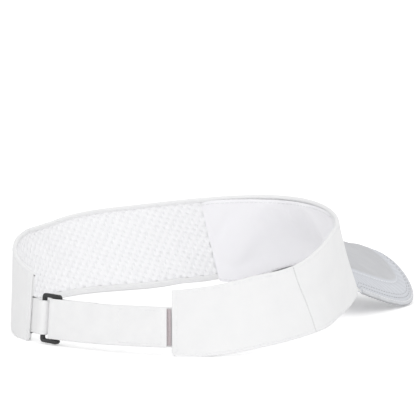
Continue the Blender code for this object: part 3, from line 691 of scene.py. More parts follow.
def drape(arc, height, foot, top):
    """How far the cloth's outer face stands off the wall: stitch grooves, puckers and soft creases."""
    up = height - foot
    down = top - height
    along = arc / MM
    beat = 0.75 + 0.25 * np.cos(2 * np.pi * arc / STITCH_PITCH)
    rise = np.zeros(np.broadcast(arc, height).shape)
    for distance in (up, down):
        rise = rise - 0.00020 * groove(distance - STITCH_INSET) * beat
        reach = np.exp(-np.maximum(distance - STITCH_INSET, 0.0) / 0.0042)
        ripple = np.sin(2 * np.pi * along / 5.7 + 1.6 * np.sin(2 * np.pi * along / 41.0))
        ripple = ripple + 0.6 * np.sin(2 * np.pi * along / 3.4 + 0.9 * np.sin(2 * np.pi * along / 23.0))
        rise = rise + 0.00005 * ripple * reach * (distance > 0.0009)
    end_beat = 0.75 + 0.25 * np.cos(2 * np.pi * height / STITCH_PITCH)
    rise = rise - 0.00018 * groove(np.abs(arc) - RIGHT_END + END_ROW) * end_beat
    span = np.maximum(top - foot, 0.001)
    belly = np.sin(np.pi * np.clip(up / span, 0.0, 1.0))
    rise = rise + (0.00012 * belly * np.sin(2 * np.pi * along / 46.0 + 0.8)
                   * np.sin(2 * np.pi * up / span * 0.9 + along / 30))
    for place, lean, width, depth in ((149.0, 0.16, 2.6, 0.00034), (139.5, 0.30, 3.4, 0.00026),
                                      (127.0, -0.10, 4.2, 0.00018), (176.0, 0.10, 3.0, 0.00016),
                                      (104.0, 0.22, 5.0, 0.00014), (76.0, -0.2, 5.5, 0.00014)):
        across = np.abs(along) - place - lean * up / MM
        rise = rise - depth * belly * groove(across, width)
        rise = rise + 0.6 * depth * belly * groove(across - 1.9 * width, 1.3 * width)
    return rise


EDGE_STEPS = np.array([0.6, 0.85, 1.1, 1.35, 1.6, 1.85, 2.1, 2.4, 2.8, 3.3, 4.0]) * MM


def front_lean(angle):
    """Share of the seam's lean that the front panel's cloth has taken up."""
    return np.maximum(0.0, (np.abs(angle) - BRIM_CORNER_ANGLE) / (SEAM_LOWER_ANGLE - BRIM_CORNER_ANGLE))


def panel_section(foot_out, foot_in, top, rows):
    """Section of a folded panel, all round: offsets, heights and the run along the cloth, per column."""
    low = [foot_out + d for d in EDGE_STEPS]
    high = [top - d for d in EDGE_STEPS[::-1] if d > 0.00095]
    between = [low[-1] + (high[0] - low[-1]) * s for s in np.linspace(0, 1, rows + 2)[1:-1]]
    flat = np.zeros_like(top)
    section = [(flat, h, True) for h in low + between + high]
    half = -HEM_INNER / 2
    for turn in np.linspace(0, np.pi, 11)[1:-1]:
        section.append((flat - half + half * math.cos(turn), top - 0.0009 + 0.0009 * math.sin(turn), False))
    for down in np.linspace(0.0009, HEM_DEPTH - 0.0001, 6):
        section.append((flat + HEM_INNER + 0.00008 * float(groove(down - STITCH_INSET)), top - down, False))
    lip = HEM_INNER + 0.00018
    section += [(flat + HEM_INNER + 0.00006, top - HEM_DEPTH, False), (flat + lip, top - HEM_DEPTH + 0.00003, False),
                (flat + lip, top - 0.0014, False), (flat + PANEL_INNER - 0.00012, top - 0.0012, False),
                (flat + PANEL_INNER, top - 0.0014, False)]
    for share in np.linspace(0, 1, 7)[1:-1]:
        section.append((flat + PANEL_INNER, top - 0.0014 + (foot_in + 0.0006 - top + 0.0014) * share, False))
    for turn in np.linspace(np.pi, 2 * np.pi, 9)[:-1]:
        share = 0.5 - 0.5 * math.cos(turn)
        foot = foot_in + (foot_out - foot_in) * share
        section.append((flat - 0.0006 + 0.0006 * math.cos(turn), foot + 0.0006 + 0.0006 * math.sin(turn), False))
    section.append(section[0])
    return section


def panel(name, arcs, lean_high, foot_out, foot_in, rounded, node, rows=40):
    """Closed cloth panel over columns at the given arcs, leaning by lean_high degrees at its top."""
    low = angle_at(arcs)
    angle_mid = low + 0.5 * lean_high
    top = wall_height(angle_mid)
    section = panel_section(foot_out, foot_in, top, rows)
    offsets = np.stack([s[0] for s in section])
    heights = np.stack([s[1] for s in section])
    outer = np.array([s[2] for s in section])
    face = drape(arcs[None, :], heights[outer], foot_out[None, :], top[None, :])
    offsets[outer] = offsets[outer] + face
    for end, radius in rounded:
        gone = np.clip(1.0 - np.abs(arcs - end) / radius, 0.0, 1.0)
        pull = radius * (1.0 - np.sqrt(1.0 - gone ** 2)) * 0.95
        offsets = np.where(outer[:, None], offsets - pull[None, :], offsets)
    angles = low[None, :] + lean_high[None, :] * heights / top[None, :]
    points = wall(angles, offsets, heights)
    steps = np.hypot(np.diff(offsets, axis=0), np.diff(heights, axis=0))
    run = np.concatenate([[0.0], np.cumsum(np.mean(steps, axis=1))])
    uv = cloth_uv(arcs[None, :], run[:, None])
    piece = tube(name, points, uv)
    dress(piece, SHELL, "visor", [node])


def shell():
    seam_low = float(arc_at(SEAM_LOWER_ANGLE)) - 0.00012
    seam_lean = SEAM_UPPER_ANGLE - SEAM_LOWER_ANGLE
    even = np.linspace(-seam_low, seam_low, 451)
    edge = seam_low - np.array([0.00004, 0.00012, 0.00024, 0.0004, 0.0007])
    arcs = np.unique(np.concatenate([even, edge, -edge]))
    angle = angle_at(arcs)
    lean_high = np.sign(angle) * front_lean(angle) * seam_lean
    panel("front_shell", arcs, lean_high, brim_clear(angle, 0.0), brim_clear(angle, PANEL_INNER),
          [(seam_low, 0.0007), (-seam_low, 0.0007)], "front_panel")
    rear_low = seam_low + 0.00024
    radius = REAR_RADIUS
    straight = np.linspace(rear_low, RIGHT_END - radius, 96)
    bend = RIGHT_END - radius * (1.0 - np.sin(np.linspace(0, np.pi / 2, 13)[1:]))
    close = rear_low + np.array([0.00004, 0.00012, 0.00024, 0.0004, 0.0007])
    last = RIGHT_END - np.array([0.00002, 0.0001, 0.0002, 0.00035])
    arcs = np.unique(np.concatenate([straight, bend, close, last]))
    share = np.clip((arcs - (RIGHT_END - radius)) / radius, 0.0, 1.0)
    foot = radius * (1.0 - np.sqrt(np.maximum(1.0 - share ** 2, 0.0)))
    lean = np.clip((RIGHT_END - radius - arcs) / (RIGHT_END - radius - rear_low), 0.0, 1.0)
    for side, name in ((1.0, "right_rear"), (-1.0, "left_rear")):
        order = np.argsort(side * arcs)
        panel(name + "_shell", (side * arcs)[order], (side * lean * seam_lean)[order], foot[order], foot[order],
              [(side * rear_low, 0.0007), (side * RIGHT_END, 0.0005)], name + "_panel")


def shell_stitches():
    rows = []
    seam = float(arc_at(SEAM_LOWER_ANGLE))
    arcs = np.linspace(-RIGHT_END + 0.0035, RIGHT_END - 0.0035, 1400)
    angle = angle_at(arcs)
    rear_lean = np.clip((RIGHT_END - REAR_RADIUS - np.abs(arcs)) / (RIGHT_END - REAR_RADIUS - seam), 0.0, 1.0)
    lean = np.where(np.abs(angle) < SEAM_LOWER_ANGLE, front_lean(angle), rear_lean)
    tilt = np.sign(angle) * lean * (SEAM_UPPER_ANGLE - SEAM_LOWER_ANGLE)
    top = wall_height(angle + 0.5 * tilt)
    foot = brim_clear(angle, 0.0)
    for height in (top - STITCH_INSET, foot + STITCH_INSET):
        rise = drape(arcs, height, foot, top)
        rows.append((*wall_row(angle + tilt * height / top, rise + 0.00006, height), STITCH_PITCH))
    height = top - STITCH_INSET
    hem = np.full_like(arcs, HEM_INNER + 0.00004)
    rows.append((*wall_row(angle + tilt * height / top, hem, height, True), STITCH_PITCH))
    for side in (1.0, -1.0):
        arc = np.full(60, side * (RIGHT_END - END_ROW))
        high = float(wall_height(angle_at(arc[0])))
        height = np.linspace(0.0024, high - 0.0024, 60)
        rise = drape(arc, height, 0.0, high)
        rows.append((*wall_row(angle_at(arc), rise + 0.00006, height), STITCH_PITCH))
    stitch_rows("band_stitches", rows, THREAD)


# ---- inside of the band ------------------------------------------------------------------

HOLE_PITCH, HOLE_ROW, HOLE_SLANT = 0.0035, 0.0031, 0.40
HOLE_WIDE, HOLE_HIGH, HOLE_DEPTH = 0.00084, 0.00150, 0.00050


def tape_sag(angle):
    """The bottom tape runs down to meet the lower edge of the sweatband."""
    return 0.0018 * ease((58.0 - angle) / 16.0)


def mesh_cell():
    """One cell of the mesh, with an oval dimple: points (along, up, depth) and faces."""
    p, q = HOLE_PITCH, HOLE_ROW
    turn = np.arange(8) * np.pi / 4 + np.pi / 2
    oval = np.stack([HOLE_WIDE * np.cos(turn), HOLE_HIGH * np.sin(turn)], axis=-1)
    border = np.array([(0, 2 * q / 3), (-p / 2, q / 3), (-p / 2, 0), (-p / 2, -q / 3),
                       (0, -2 * q / 3), (p / 2, -q / 3), (p / 2, 0), (p / 2, q / 3)])
    border[:, 1] += HOLE_SLANT * border[:, 0]
    rings = [(border, 0.0), (oval * 1.35, 0.0), (oval, 0.5 * HOLE_DEPTH), (oval * 0.6, HOLE_DEPTH)]
    points = np.concatenate([np.column_stack([ring, np.full(8, depth)]) for ring, depth in rings])
    faces = [(8 * r + i, 8 * r + (i + 1) % 8, 8 * r + 8 + (i + 1) % 8, 8 * r + 8 + i)
             for r in range(3) for i in range(8)]
    return points, faces + [tuple(range(24, 32))]


def mesh_lining(name, side, node):
    """Knitted mesh: a cloth of staggered oval dimples, laid on the wall and tucked under the hem."""
    first, last = float(arc_at(36.6)), FACING + 0.0016
    cell, cell_faces = mesh_cell()
    points, faces = [], []
    foot = TAPE_LIFT + 0.0014
    for column in range(int((last - first) / HOLE_PITCH * 2) + 1):
        along = first + column * HOLE_PITCH / 2
        limit = float(wall_height(angle_at(along))) - HEM_DEPTH + 0.0007
        start = (HOLE_SLANT * column * HOLE_PITCH / 2 + HOLE_ROW * (column % 2)) % (2 * HOLE_ROW) - 2 * HOLE_ROW
        for up in np.arange(start, limit + 1.6 * HOLE_ROW, 2 * HOLE_ROW):
            if up > foot - 1.3 * HOLE_ROW - tape_sag(angle_at(along)):
                faces += [tuple(len(points) * 32 + i for i in face) for face in cell_faces]
                points.append(cell + (along, up, 0.0))
    piece = mesh_piece(name, points, faces)
    edit(piece, lambda: bpy.ops.mesh.remove_doubles(threshold=1e-6))
    mesh = piece.data
    flat = np.array([v.co for v in mesh.vertices])
    corner = np.empty(len(mesh.loops), np.int32)
    mesh.loops.foreach_get("vertex_index", corner)
    uv = (flat[corner, :2] * 1000.0).astype(np.float32)
    mesh.uv_layers.new(name="cloth").uv.foreach_set("vector", uv.ravel())
    arc, height, depth = flat.T
    top = wall_height(angle_at(arc))
    reach = 0.7 * HOLE_ROW
    high, low = top - HEM_DEPTH + 0.0007 - reach, foot + reach - tape_sag(angle_at(arc))
    height = np.where(height > high, high + reach * (1.0 - np.exp(-np.maximum(height - high, 0.0) / reach)), height)
    height = np.where(height < low, low - reach * (1.0 - np.exp(-np.maximum(low - height, 0.0) / reach)), height)
    tucked = ease((39.3 - angle_at(arc)) / 1.2)
    depth = depth * (1.0 - 0.7 * tucked) + 0.0004 * tucked
    wave = 0.00008 * np.sin(arc * 1000 * 2 * np.pi / 31.0) * np.sin(np.pi * height / top)
    placed = wall(side * angle_at(arc), LINING_FACE + depth + wave, height)
    mesh.vertices.foreach_set("co", at_rest(placed).astype(np.float32).ravel())
    mesh.update()
    thicken(piece, 0.0002)
    dress(piece, MESH, "visor", [node])


def rounded_strip(across, half, bulge=0.0, count=9):
    """Closed section of a flat strip with round edges: (place across, place through) pairs."""
    side = across / 2 - half
    points = [(s * side, half + bulge * (1 - s * s)) for s in np.linspace(-1, 1, count)]
    points += [(side + half * math.sin(t), half * math.cos(t)) for t in np.linspace(0, np.pi, 6)[1:-1]]
    points += [(-s * side, -half) for s in np.linspace(-1, 1, count)]
    points += [(-side - half * math.sin(t), -half * math.cos(t)) for t in np.linspace(0, np.pi, 6)[1:-1]]
    return np.array(points + points[:1])


def bottom_tape(name, side, node):
    first = float(arc_at(SWEATBAND_END)) + 0.0002
    arcs = np.linspace(first, FACING - 0.0002, 260)
    section = rounded_strip(TAPE_HEIGHT, 0.00035, 0.00022)
    beat = 0.00005 * np.cos(2 * np.pi * arcs / STITCH_PITCH)
    sag = tape_sag(angle_at(arcs))
    height = TAPE_LIFT + TAPE_HEIGHT / 2 + section[:, 0:1] - sag[None, :]
    dip = -0.00012 * groove(section[:, 0:1], 0.0006) * (section[:, 1:2] > 0)
    offset = TAPE_MIDDLE - section[:, 1:2] - dip + beat[None, :] * (section[:, 1:2] > 0)
    points = wall(side * angle_at(arcs)[None, :], offset, np.broadcast_to(height, offset.shape))
    uv = cloth_uv(arcs[None, :], run_length(section)[:, None])
    dress(tube(name, points, uv), SHELL, "visor", [node])
    row = wall_row(side * angle_at(arcs), np.full_like(arcs, TAPE_MIDDLE - 0.00050),
                   TAPE_LIFT + TAPE_HEIGHT / 2 - sag, True)
    return [(*row, STITCH_PITCH)]


def facing_level(arc, height, outer, low, high):
    """Offset of a facing's back: over the strap or tab it stands off, and beside them it meets the panel."""
    over = ease((height - low + 0.0008) / 0.0007) * ease((high + 0.0008 - height) / 0.0007)
    over = over * ease((arc - FACING + 0.0012) / 0.0022)
    plain = -0.0020 + 0.0007 * ease((arc - FACING - 0.0016) / 0.0015)
    return plain + (outer - plain) * over


def end_facing(name, side, outer, low, high, node):
    """Folded cloth strip over the sewn end of the strap or tab."""
    arcs = np.linspace(FACING - 0.0012, RIGHT_END - 0.0003, 40)
    top = wall_height(angle_at(arcs)) - HEM_DEPTH - 0.0002
    section = rounded_strip(1.0, 0.0004, 0.0, 60)
    share = section[:, 0:1] + 0.5
    through = section[:, 1:2] - 0.0004
    height = TAPE_LIFT + (top[None, :] - TAPE_LIFT) * share
    across = np.sin(np.pi * (arcs - arcs[0]) / (arcs[-1] - arcs[0]))
    puff = np.sin(np.pi * np.clip(share, 0, 1)) ** 0.5 * across[None, :]
    level = facing_level(arcs[None, :], height, outer, low, high)
    offset = level + np.minimum(through, 0.0) - 0.00016 * puff * (through < -0.0005)
    points = wall(side * angle_at(arcs)[None, :], offset, height)
    uv = cloth_uv(arcs[None, :], (run_length(section) * 0.03)[:, None])
    piece = tube(name, points, uv)
    dress(piece, SHELL, "visor", [node])
    rows = []
    for arc in (arcs[0] + 0.0021, RIGHT_END - END_ROW):
        height = np.linspace(0.003, float(wall_height(angle_at(arc))) - 0.0046, 50)
        level = facing_level(np.full(50, arc), height, outer, low, high) - 0.00098
        rows.append((*wall_row(np.full(50, side * float(angle_at(arc))), level, height, True), STITCH_PITCH))
    return rows


def front_stiffener():
    """Stiff gauze between the front panel and the sweatband."""
    angles = np.linspace(-36.0, 36.0, 61)
    foot = brim_clear(angles, -0.0018) + 0.001
    top = wall_height(angles) - HEM_DEPTH - 0.001
    share = np.linspace(0, 1, 31)[:, None]
    height = foot + (top - foot) * share
    points = wall(angles[None, :], np.full_like(height, -0.0018), height)
    uv = cloth_uv(np.sign(angles) * arc_at(np.abs(angles)), height)
    piece = surface("front_gauze", points, uv)
    thicken(piece, 0.0005)
    dress(piece, GAUZE, "visor", ["front_buckram"])


def sweatband_drop(angle):
    share = np.minimum(folded(angle) / BRIM_CORNER_ANGLE, 1.0)
    return SWEATBAND_END_DROP + (SWEATBAND_DROP - SWEATBAND_END_DROP) * (1.0 - share ** 4)


def sweatband_point(angle, offset, height):
    """The sweatband leans with the wall and bends to hang plumb below the wall's foot."""
    bend = SWEATBAND_BEND * sweatband_drop(angle) / SWEATBAND_DROP
    leaning = 0.5 * (height + np.hypot(height, bend))
    plumb = np.array([0.0, 0.0, 1.0])
    return (on_wall(FOOT, angle) + on_wall(UP, angle) * leaning[..., None]
            + plumb * (height - leaning)[..., None] + on_wall(OUT, angle) * offset[..., None])


def sweatband():
    """Padded sweatband: a sewn skin blown up by its foam, held along its edges and against the wall."""
    columns, rows = 97, 25
    angles = np.linspace(-SWEATBAND_END, SWEATBAND_END, columns)
    foot = 0.0006 - sweatband_drop(angles)
    inward = ease((SWEATBAND_END - np.abs(angles)) / 5.0)
    top = wall_height(angles) - HEM_DEPTH - 0.0001 + 0.0009 * inward
    back = SWEATBAND_OUTER + 0.00045 * (1.0 - inward)
    share = np.linspace(0, 1, rows)
    crown = np.sin(np.pi * share) ** 0.6
    ends = np.sin(np.pi * np.clip((SWEATBAND_END - np.abs(angles)) / 18.0, 0.0, 0.5)) ** 0.8
    height = foot + (top - foot) * np.concatenate([share, share[::-1], share[:1]])[:, None]
    front = -0.00014 - 0.00015 * ends[None, :] - 0.0024 * crown[::-1][:, None] * ends[None, :]
    flat = np.zeros((rows, columns))
    offset = back + np.concatenate([flat, front, flat[:1]])
    points = sweatband_point(np.broadcast_to(angles, height.shape), offset, height)
    arcs = np.sign(angles) * arc_at(np.abs(angles))
    uv = cloth_uv(arcs[None, :], height)
    piece = tube("sweatband_pad", points, uv)
    blow(piece)
    apply(piece, "SUBSURF", levels=1, render_levels=1)
    smooth(piece, 70.0)
    dress(piece, KNIT, "visor", ["sweatband_cover", "sweatband_foam"])
    rows = []
    for height in (top - 0.0014, foot + 0.0016):
        path = at_rest(sweatband_point(angles, back - 0.0003 - 0.0008 * ends, height))
        rows.append((path, -at_rest_direction(on_wall(OUT, angles)), STITCH_PITCH))
    return rows


def blow(piece):
    """Cloth simulation with pressure inside: the back and the sewn edges are held."""
    mesh = piece.data
    start = np.array([v.co for v in mesh.vertices])
    normals = np.array([v.normal for v in mesh.vertices])
    angle = np.degrees(np.arctan2(-start[:, 0], -(start[:, 1] - REST_SHIFT[1])))
    outward = at_rest_direction(on_wall(OUT, angle))
    held = piece.vertex_groups.new(name="sewn")
    free = np.sum(normals * outward, axis=1) < -0.55
    held.add([int(i) for i in np.nonzero(~free)[0]], 1.0, "REPLACE")
    cloth = piece.modifiers.new("pad", "CLOTH")
    settings = cloth.settings
    settings.quality = 6
    settings.mass = 0.2
    settings.tension_stiffness = settings.compression_stiffness = 20.0
    settings.shear_stiffness = 8.0
    settings.bending_stiffness = 0.4
    settings.vertex_group_mass = "sewn"
    settings.use_pressure = True
    settings.uniform_pressure_force = 4.0
    settings.effector_weights.gravity = 0.0
    cloth.point_cache.frame_start, cloth.point_cache.frame_end = 1, 20
    scene = bpy.context.scene
    for step in range(1, 21):
        scene.frame_set(step)
    seen = piece.evaluated_get(bpy.context.evaluated_depsgraph_get()).to_mesh()
    moved = np.array([v.co for v in seen.vertices])
    piece.modifiers.remove(cloth)
    piece.vertex_groups.clear()
    step = moved - start
    length = np.linalg.norm(step, axis=1, keepdims=True)
    step = step * np.minimum(1.0, 0.0022 / np.maximum(length, 1e-9))
    mesh.vertices.foreach_set("co", (start + step).astype(np.float32).ravel())
    mesh.update()
    scene.frame_set(1)


# ---- brim --------------------------------------------------------------------------------

def brim_plan(share, row):
    """Plan point of the brim: share -1 to 1 across, row 0 to 1 outward."""
    angle = share * BRIM_CORNER_ANGLE
    inner = wall(angle, np.full_like(angle, PANEL_INNER), np.zeros_like(angle))[..., :2]
    turn = share * np.pi / 2
    c, s = np.cos(turn), np.sin(turn)
    reach = (np.abs(c) ** BRIM_SQUARENESS + np.abs(s) ** BRIM_SQUARENESS) ** (-1.0 / BRIM_SQUARENESS)
    length = CORNER_Y - FRONT_Y + BRIM_LENGTH
    outer = np.stack([-CORNER_X * s * reach, CORNER_Y - length * c * reach], axis=-1)
    return inner * (1 - row)[..., None] + outer * row[..., None]


def brim_point(share, row, depth):
    """Point of the brim at a depth below its top face, square to it at its outer edge."""
    share, row, depth = np.broadcast_arrays(share, row, depth)
    x, y = np.moveaxis(brim_plan(share, row), -1, 0)
    normal = brim_normal(x, y)
    x = x - normal[..., 0] * depth * row
    y = y - normal[..., 1] * depth * row
    return np.stack([x, y, brim_height(x, y) - depth / brim_normal(x, y)[..., 2]], axis=-1)


def edge_distance(share, row):
    """Distance from the brim's outer edge, in plan along the surface."""
    edge_share = np.linspace(-BRIM_END_SHARE, BRIM_END_SHARE, 400)
    edge = brim_point(edge_share, np.ones(400), np.zeros(400))
    points = brim_point(share, row, np.zeros_like(row))
    out = np.empty(points.shape[:2])
    for i, line in enumerate(points):
        out[i] = np.sqrt(((line[:, None] - edge[None]) ** 2).sum(-1)).min(1)
    return out


BINDING_REACH = 0.0020
EDGE_ROWS = (0.0036, 0.0056)
INNER_ROW = 0.0132
PINCH = 0.0008


def pinch(edge):
    """How much the brim's layers close up towards the bound edge."""
    return PINCH * (1.0 - ease(edge / 0.0055))


def brim_rise(row, edge, along):
    """Height of the top cloth over its face: sewn rows, cross ribs on the outer strip, a soft welt."""
    strip = ease((edge - EDGE_ROWS[1]) / 0.0012) * ease((INNER_ROW - edge) / 0.0015)
    puff = np.sin(np.pi * np.clip((edge - EDGE_ROWS[1]) / (INNER_ROW - EDGE_ROWS[1]), 0, 1)) * strip
    beat = 0.8 + 0.2 * np.cos(2 * np.pi * along / STITCH_PITCH)
    rise = 0.00030 * puff
    for row_place, row_depth in ((EDGE_ROWS[0], 0.00026), (EDGE_ROWS[1], 0.00018), (INNER_ROW, 0.00026)):
        rise = rise - row_depth * beat * groove(edge - row_place, 0.0005)
    for line in (0.0116, 0.0101, 0.0086):
        rise = rise - 0.00010 * groove(edge - line, 0.0004)
    rise = rise + 0.00050 * groove(edge - INNER_ROW - 0.0011, 0.0008)
    inside = ease((edge - INNER_ROW - 0.002) / 0.004)
    rise = rise + 0.00010 * inside * np.sin(along * 1000 / 6.1 + 2.0 * np.sin(row * 5.0)) * np.sin(row * 17.0 + 1.0)
    return rise, np.clip(strip, 0, 1)


def brim_cloth(name, depth, sign, node):
    """Top or under cloth of the brim, pinched towards the bound edge."""
    share = np.linspace(-BRIM_END_SHARE, BRIM_END_SHARE, 261)[None, :]
    row = np.linspace(0, 1, 111)[:, None] ** 0.85
    share, row = np.broadcast_arrays(share, row)
    edge = edge_distance(share, row)
    rim = brim_point(share[0], np.ones(261), np.zeros(261))
    run = run_length(rim)
    along = np.broadcast_to(run - run[130], share.shape)
    rise, strip = brim_rise(row, edge, along)
    if sign < 0:
        rise = rise * 0.6
    points = brim_point(share, row, depth + sign * (pinch(edge) - rise))
    uv = np.stack([along, edge], axis=-1)
    piece = surface(name, points, uv)
    # Painted shade and light: near is 1 on the outer strip and falls to 0 on the inner zone by the band. Through the
    # strip attribute the tone paints that inner zone darker, as the band's shadow, and the outer strip lighter,
    # where it faces the light.
    near = ease((INNER_ROW + 0.0030 - edge) / 0.0060)
    # Painted highlight: welt adds a light line along the soft welt just inside the inner row.
    welt = groove(edge - INNER_ROW - 0.0004, 0.0006)
    for label, value in (("strip", 0.55 * near + 0.5 * welt), ("ribs", strip)):
        mark = piece.data.attributes.new(label, "FLOAT", "POINT")
        mark.data.foreach_set("value", value.astype(np.float32).ravel())
    thicken(piece, 0.0005)
    dress(piece, BRIM, "visor", [node])


def brim_edge_frame(share):
    edge = brim_point(share, np.ones_like(share), np.zeros_like(share))
    normal = unit(edge - brim_point(share, np.ones_like(share), np.full_like(share, BRIM_THICKNESS)))
    step = 0.004
    along = unit(brim_point(share + step, np.ones_like(share), np.zeros_like(share))
                 - brim_point(share - step, np.ones_like(share), np.zeros_like(share)))
    out = unit(np.cross(normal, along))
    inward = brim_point(share, np.full_like(share, 0.8), np.zeros_like(share)) - edge
    out = np.where((np.sum(out * inward, axis=-1) > 0)[:, None], -out, out)
    return edge, normal, out


def brim_binding():
    """Tape folded round the brim's edge, with a round nose."""
    share = np.linspace(-BRIM_END_SHARE, BRIM_END_SHARE, 361)
    edge, normal, out = brim_edge_frame(share)
    reach = BINDING_REACH
    outside = [(-reach, 0.00080), (-reach + 0.00015, 0.00104), (-reach + 0.0005, 0.00110),
               (-reach * 0.5, 0.00102), (-0.0005, 0.00090)]
    nose = [(-0.0005 + 0.0011 * math.sin(t), 0.00090 * math.cos(t)) for t in np.linspace(0, np.pi, 15)[1:-1]]
    under = [(o, -n) for o, n in outside[::-1]]
    inside = [(-reach + 0.0003, -0.00078), (-0.0005, -0.00058), (0.0001, 0.0), (-0.0005, 0.00058),
              (-reach + 0.0003, 0.00078)]
    profile = np.array(outside + nose + under + inside + outside[:1])
    middle_line = edge - normal * BRIM_THICKNESS / 2
    points = middle_line[None] + out[None] * profile[:, None, 0:1] + normal[None] * profile[:, None, 1:2]
    run = run_length(edge)
    uv = cloth_uv(run[None, :], run_length(profile)[:, None])
    dress(tube("brim_binding", points, uv), BINDING, "visor", ["brim_edge_binding"])


def brim_stitches():
    rows, lines = [], []
    share = np.linspace(-BRIM_END_SHARE, BRIM_END_SHARE, 600)
    fine_row = np.linspace(0, 1, 400)
    path = np.array([brim_point(np.full(400, s), fine_row, np.zeros(400)) for s in share])
    edge_line = path[:, -1]
    for depth_edge in (*EDGE_ROWS, INNER_ROW):
        picked, normals = [], []
        for i in range(len(share)):
            gap = np.sqrt(((path[i][:, None] - edge_line[None, ::4]) ** 2).sum(-1)).min(1)
            inside = np.nonzero(gap >= depth_edge)[0]
            if len(inside) == 0 or inside[-1] < 4:
                continue
            k = inside[-1]
            picked.append(path[i, k])
            normals.append(brim_normal(path[i, k, 0:1], path[i, k, 1:2])[0])
        picked, normals = np.array(picked), np.array(normals)
        sunk = 0.00016 + float(pinch(depth_edge))
        under = picked - normals * (BRIM_THICKNESS - sunk)
        # The two edge rows go into lines and are sewn in dark thread, as painted groove shade.
        sewn = rows if depth_edge == INNER_ROW else lines
        sewn.append((at_rest(picked - normals * sunk), at_rest_direction(normals), STITCH_PITCH))
        sewn.append((at_rest(under), -at_rest_direction(normals), STITCH_PITCH))
    edge, normal, out = brim_edge_frame(share)
    top = edge - normal * BRIM_THICKNESS / 2 - out * (BINDING_REACH - 0.0007)
    lift = 0.00110
    rows.append((at_rest(top + normal * lift), at_rest_direction(normal), STITCH_PITCH))
    rows.append((at_rest(top - normal * lift), -at_rest_direction(normal), STITCH_PITCH))
    stitch_rows("brim_stitches", rows, BRIM_THREAD)
    stitch_rows("brim_edge_stitches", lines, BRIM_GROOVE_SHADE_THREAD)


def brim():
    brim_cloth("brim_top_cloth", 0.00030, 1.0, "brim_top_cover")
    brim_cloth("brim_under_cloth", BRIM_THICKNESS - 0.00030, -1.0, "brim_under_cover")
    brim_binding()
    brim_stitches()
    board = frame["nodes"]["brim_board"]
    board.data.materials.clear()
    board.data.materials.append(BOARD)


# ---- strap, tab and ring -----------------------------------------------------------------

def run_along(first, last, first_offset, last_offset):
    count = max(3, int(abs(last - first) / 0.0006))
    share = np.linspace(0, 1, count + 1)
    offset = first_offset + (last_offset - first_offset) * ease(share)
    return np.stack([first + (last - first) * share, offset], axis=-1)


def fold_round(centre, radius, direction, first_sign):
    turn = np.radians(np.linspace(-90.0, 90.0, 25)[1:-1])
    return np.stack([centre + direction * radius * np.cos(turn),
                     RING_OFFSET - first_sign * radius * np.sin(turn)], axis=-1)


def webbing(name, path, thickness, foot, width, finish, body, node, selvage=0.0012):
    """Woven tape along a path of arcs and offsets, with round edges and a line inside each edge."""
    step = np.gradient(path, axis=0)
    length = np.linalg.norm(step, axis=1)
    through = np.stack([-step[:, 1], step[:, 0]], axis=-1) / length[:, None]
    section = rounded_strip(width, thickness / 2, 0.0, 41)
    line = groove(np.abs(section[:, 0]) - (width / 2 - selvage), 0.00035)
    depth = section[:, 1] - np.sign(section[:, 1]) * 0.00013 * line
    arcs = path[None, :, 0] + through[None, :, 0] * depth[:, None]
    offsets = path[None, :, 1] + through[None, :, 1] * depth[:, None]
    heights = (foot(path[:, 0]) + width / 2)[None, :] + section[:, 0:1]
    points = wall(angle_at(arcs), offsets, heights)
    run = run_length(path)
    uv = cloth_uv(run[None, :], run_length(section)[:, None])
    piece = tube(name, points, uv)
    dress(piece, finish, body, [node])
    return piece


def joined(*runs):
    out = [runs[0]]
    for piece in runs[1:]:
        out.append(piece[1:] if np.allclose(out[-1][-1], piece[0]) else piece)
    return np.concatenate(out)


def strap():
    base_at_bar, tail_at_bar = RING_OFFSET - STRAP_FOLD, RING_OFFSET + STRAP_FOLD
    under = joined(run_along(RIGHT_END - 0.008, PEEL, BASE_MIDDLE, BASE_MIDDLE),
                   run_along(PEEL, STRAP_BAR, BASE_MIDDLE, base_at_bar),
                   fold_round(STRAP_BAR, STRAP_FOLD, 1.0, -1.0),
                   run_along(STRAP_BAR, PEEL + 0.0030, tail_at_bar, TAIL_MIDDLE))
    webbing("strap_under_layer", under, STRAP_THICKNESS, strap_lift, STRAP_WIDTH, WEBBING, "visor", "strap_base")
    tail_end = RIGHT_END + TAIL_END_GAP
    over = run_along(PEEL + 0.0030, tail_end, TAIL_MIDDLE, TAIL_MIDDLE)
    outer = webbing("strap_outer_layer", over, STRAP_THICKNESS, strap_lift, STRAP_WIDTH, WEBBING, None,
                    "strap_tail")
    hinge = float(TAIL_MIDDLE + STRAP_THICKNESS / 2)
    ends = [at_rest(wall(float(angle_at(a)), hinge, float(strap_lift(a)) + STRAP_WIDTH / 2))
            for a in (PEEL + 0.0008, PEEL - 0.0075)]
    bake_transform(outer)

    def patch_lift(arc):
        return strap_lift(arc) + 0.0010

    width = STRAP_WIDTH - 0.0020
    loop = run_along(RIGHT_END + 0.0006, PEEL, LOOP_TAPE_MIDDLE, LOOP_TAPE_MIDDLE)
    webbing("strap_loop_tape", loop, PATCH_THICKNESS, patch_lift, width, LOOP_TAPE, "visor", "strap_loop_patch",
            PATCH_SELVAGE)
    hook_end = tail_end + 0.0015
    hook = run_along(hook_end + 0.026, hook_end, HOOK_TAPE_MIDDLE, HOOK_TAPE_MIDDLE)
    webbing("strap_hook_tape", hook, PATCH_THICKNESS, patch_lift, width, HOOK_TAPE, "strap_end",
            "strap_hook_patch", PATCH_SELVAGE)

    rows = []
    for arc in (hook_end + 0.0010, hook_end + 0.0250):
        height = np.linspace(float(strap_lift(arc)) + 0.0018, float(strap_lift(arc)) + STRAP_WIDTH - 0.0018, 40)
        rows.append((*wall_row(np.full(40, float(angle_at(arc))), np.full(40, hinge + 0.00004), height), 0.0022))
    for up in (0.0018, STRAP_WIDTH - 0.0018):
        arcs = np.linspace(hook_end + 0.0010, hook_end + 0.0250, 60)
        rows.append((*wall_row(angle_at(arcs), np.full(60, hinge + 0.00004), strap_lift(arcs) + up), 0.0022))
    stitch_rows("strap_end_stitches", rows, THREAD, "strap_end")


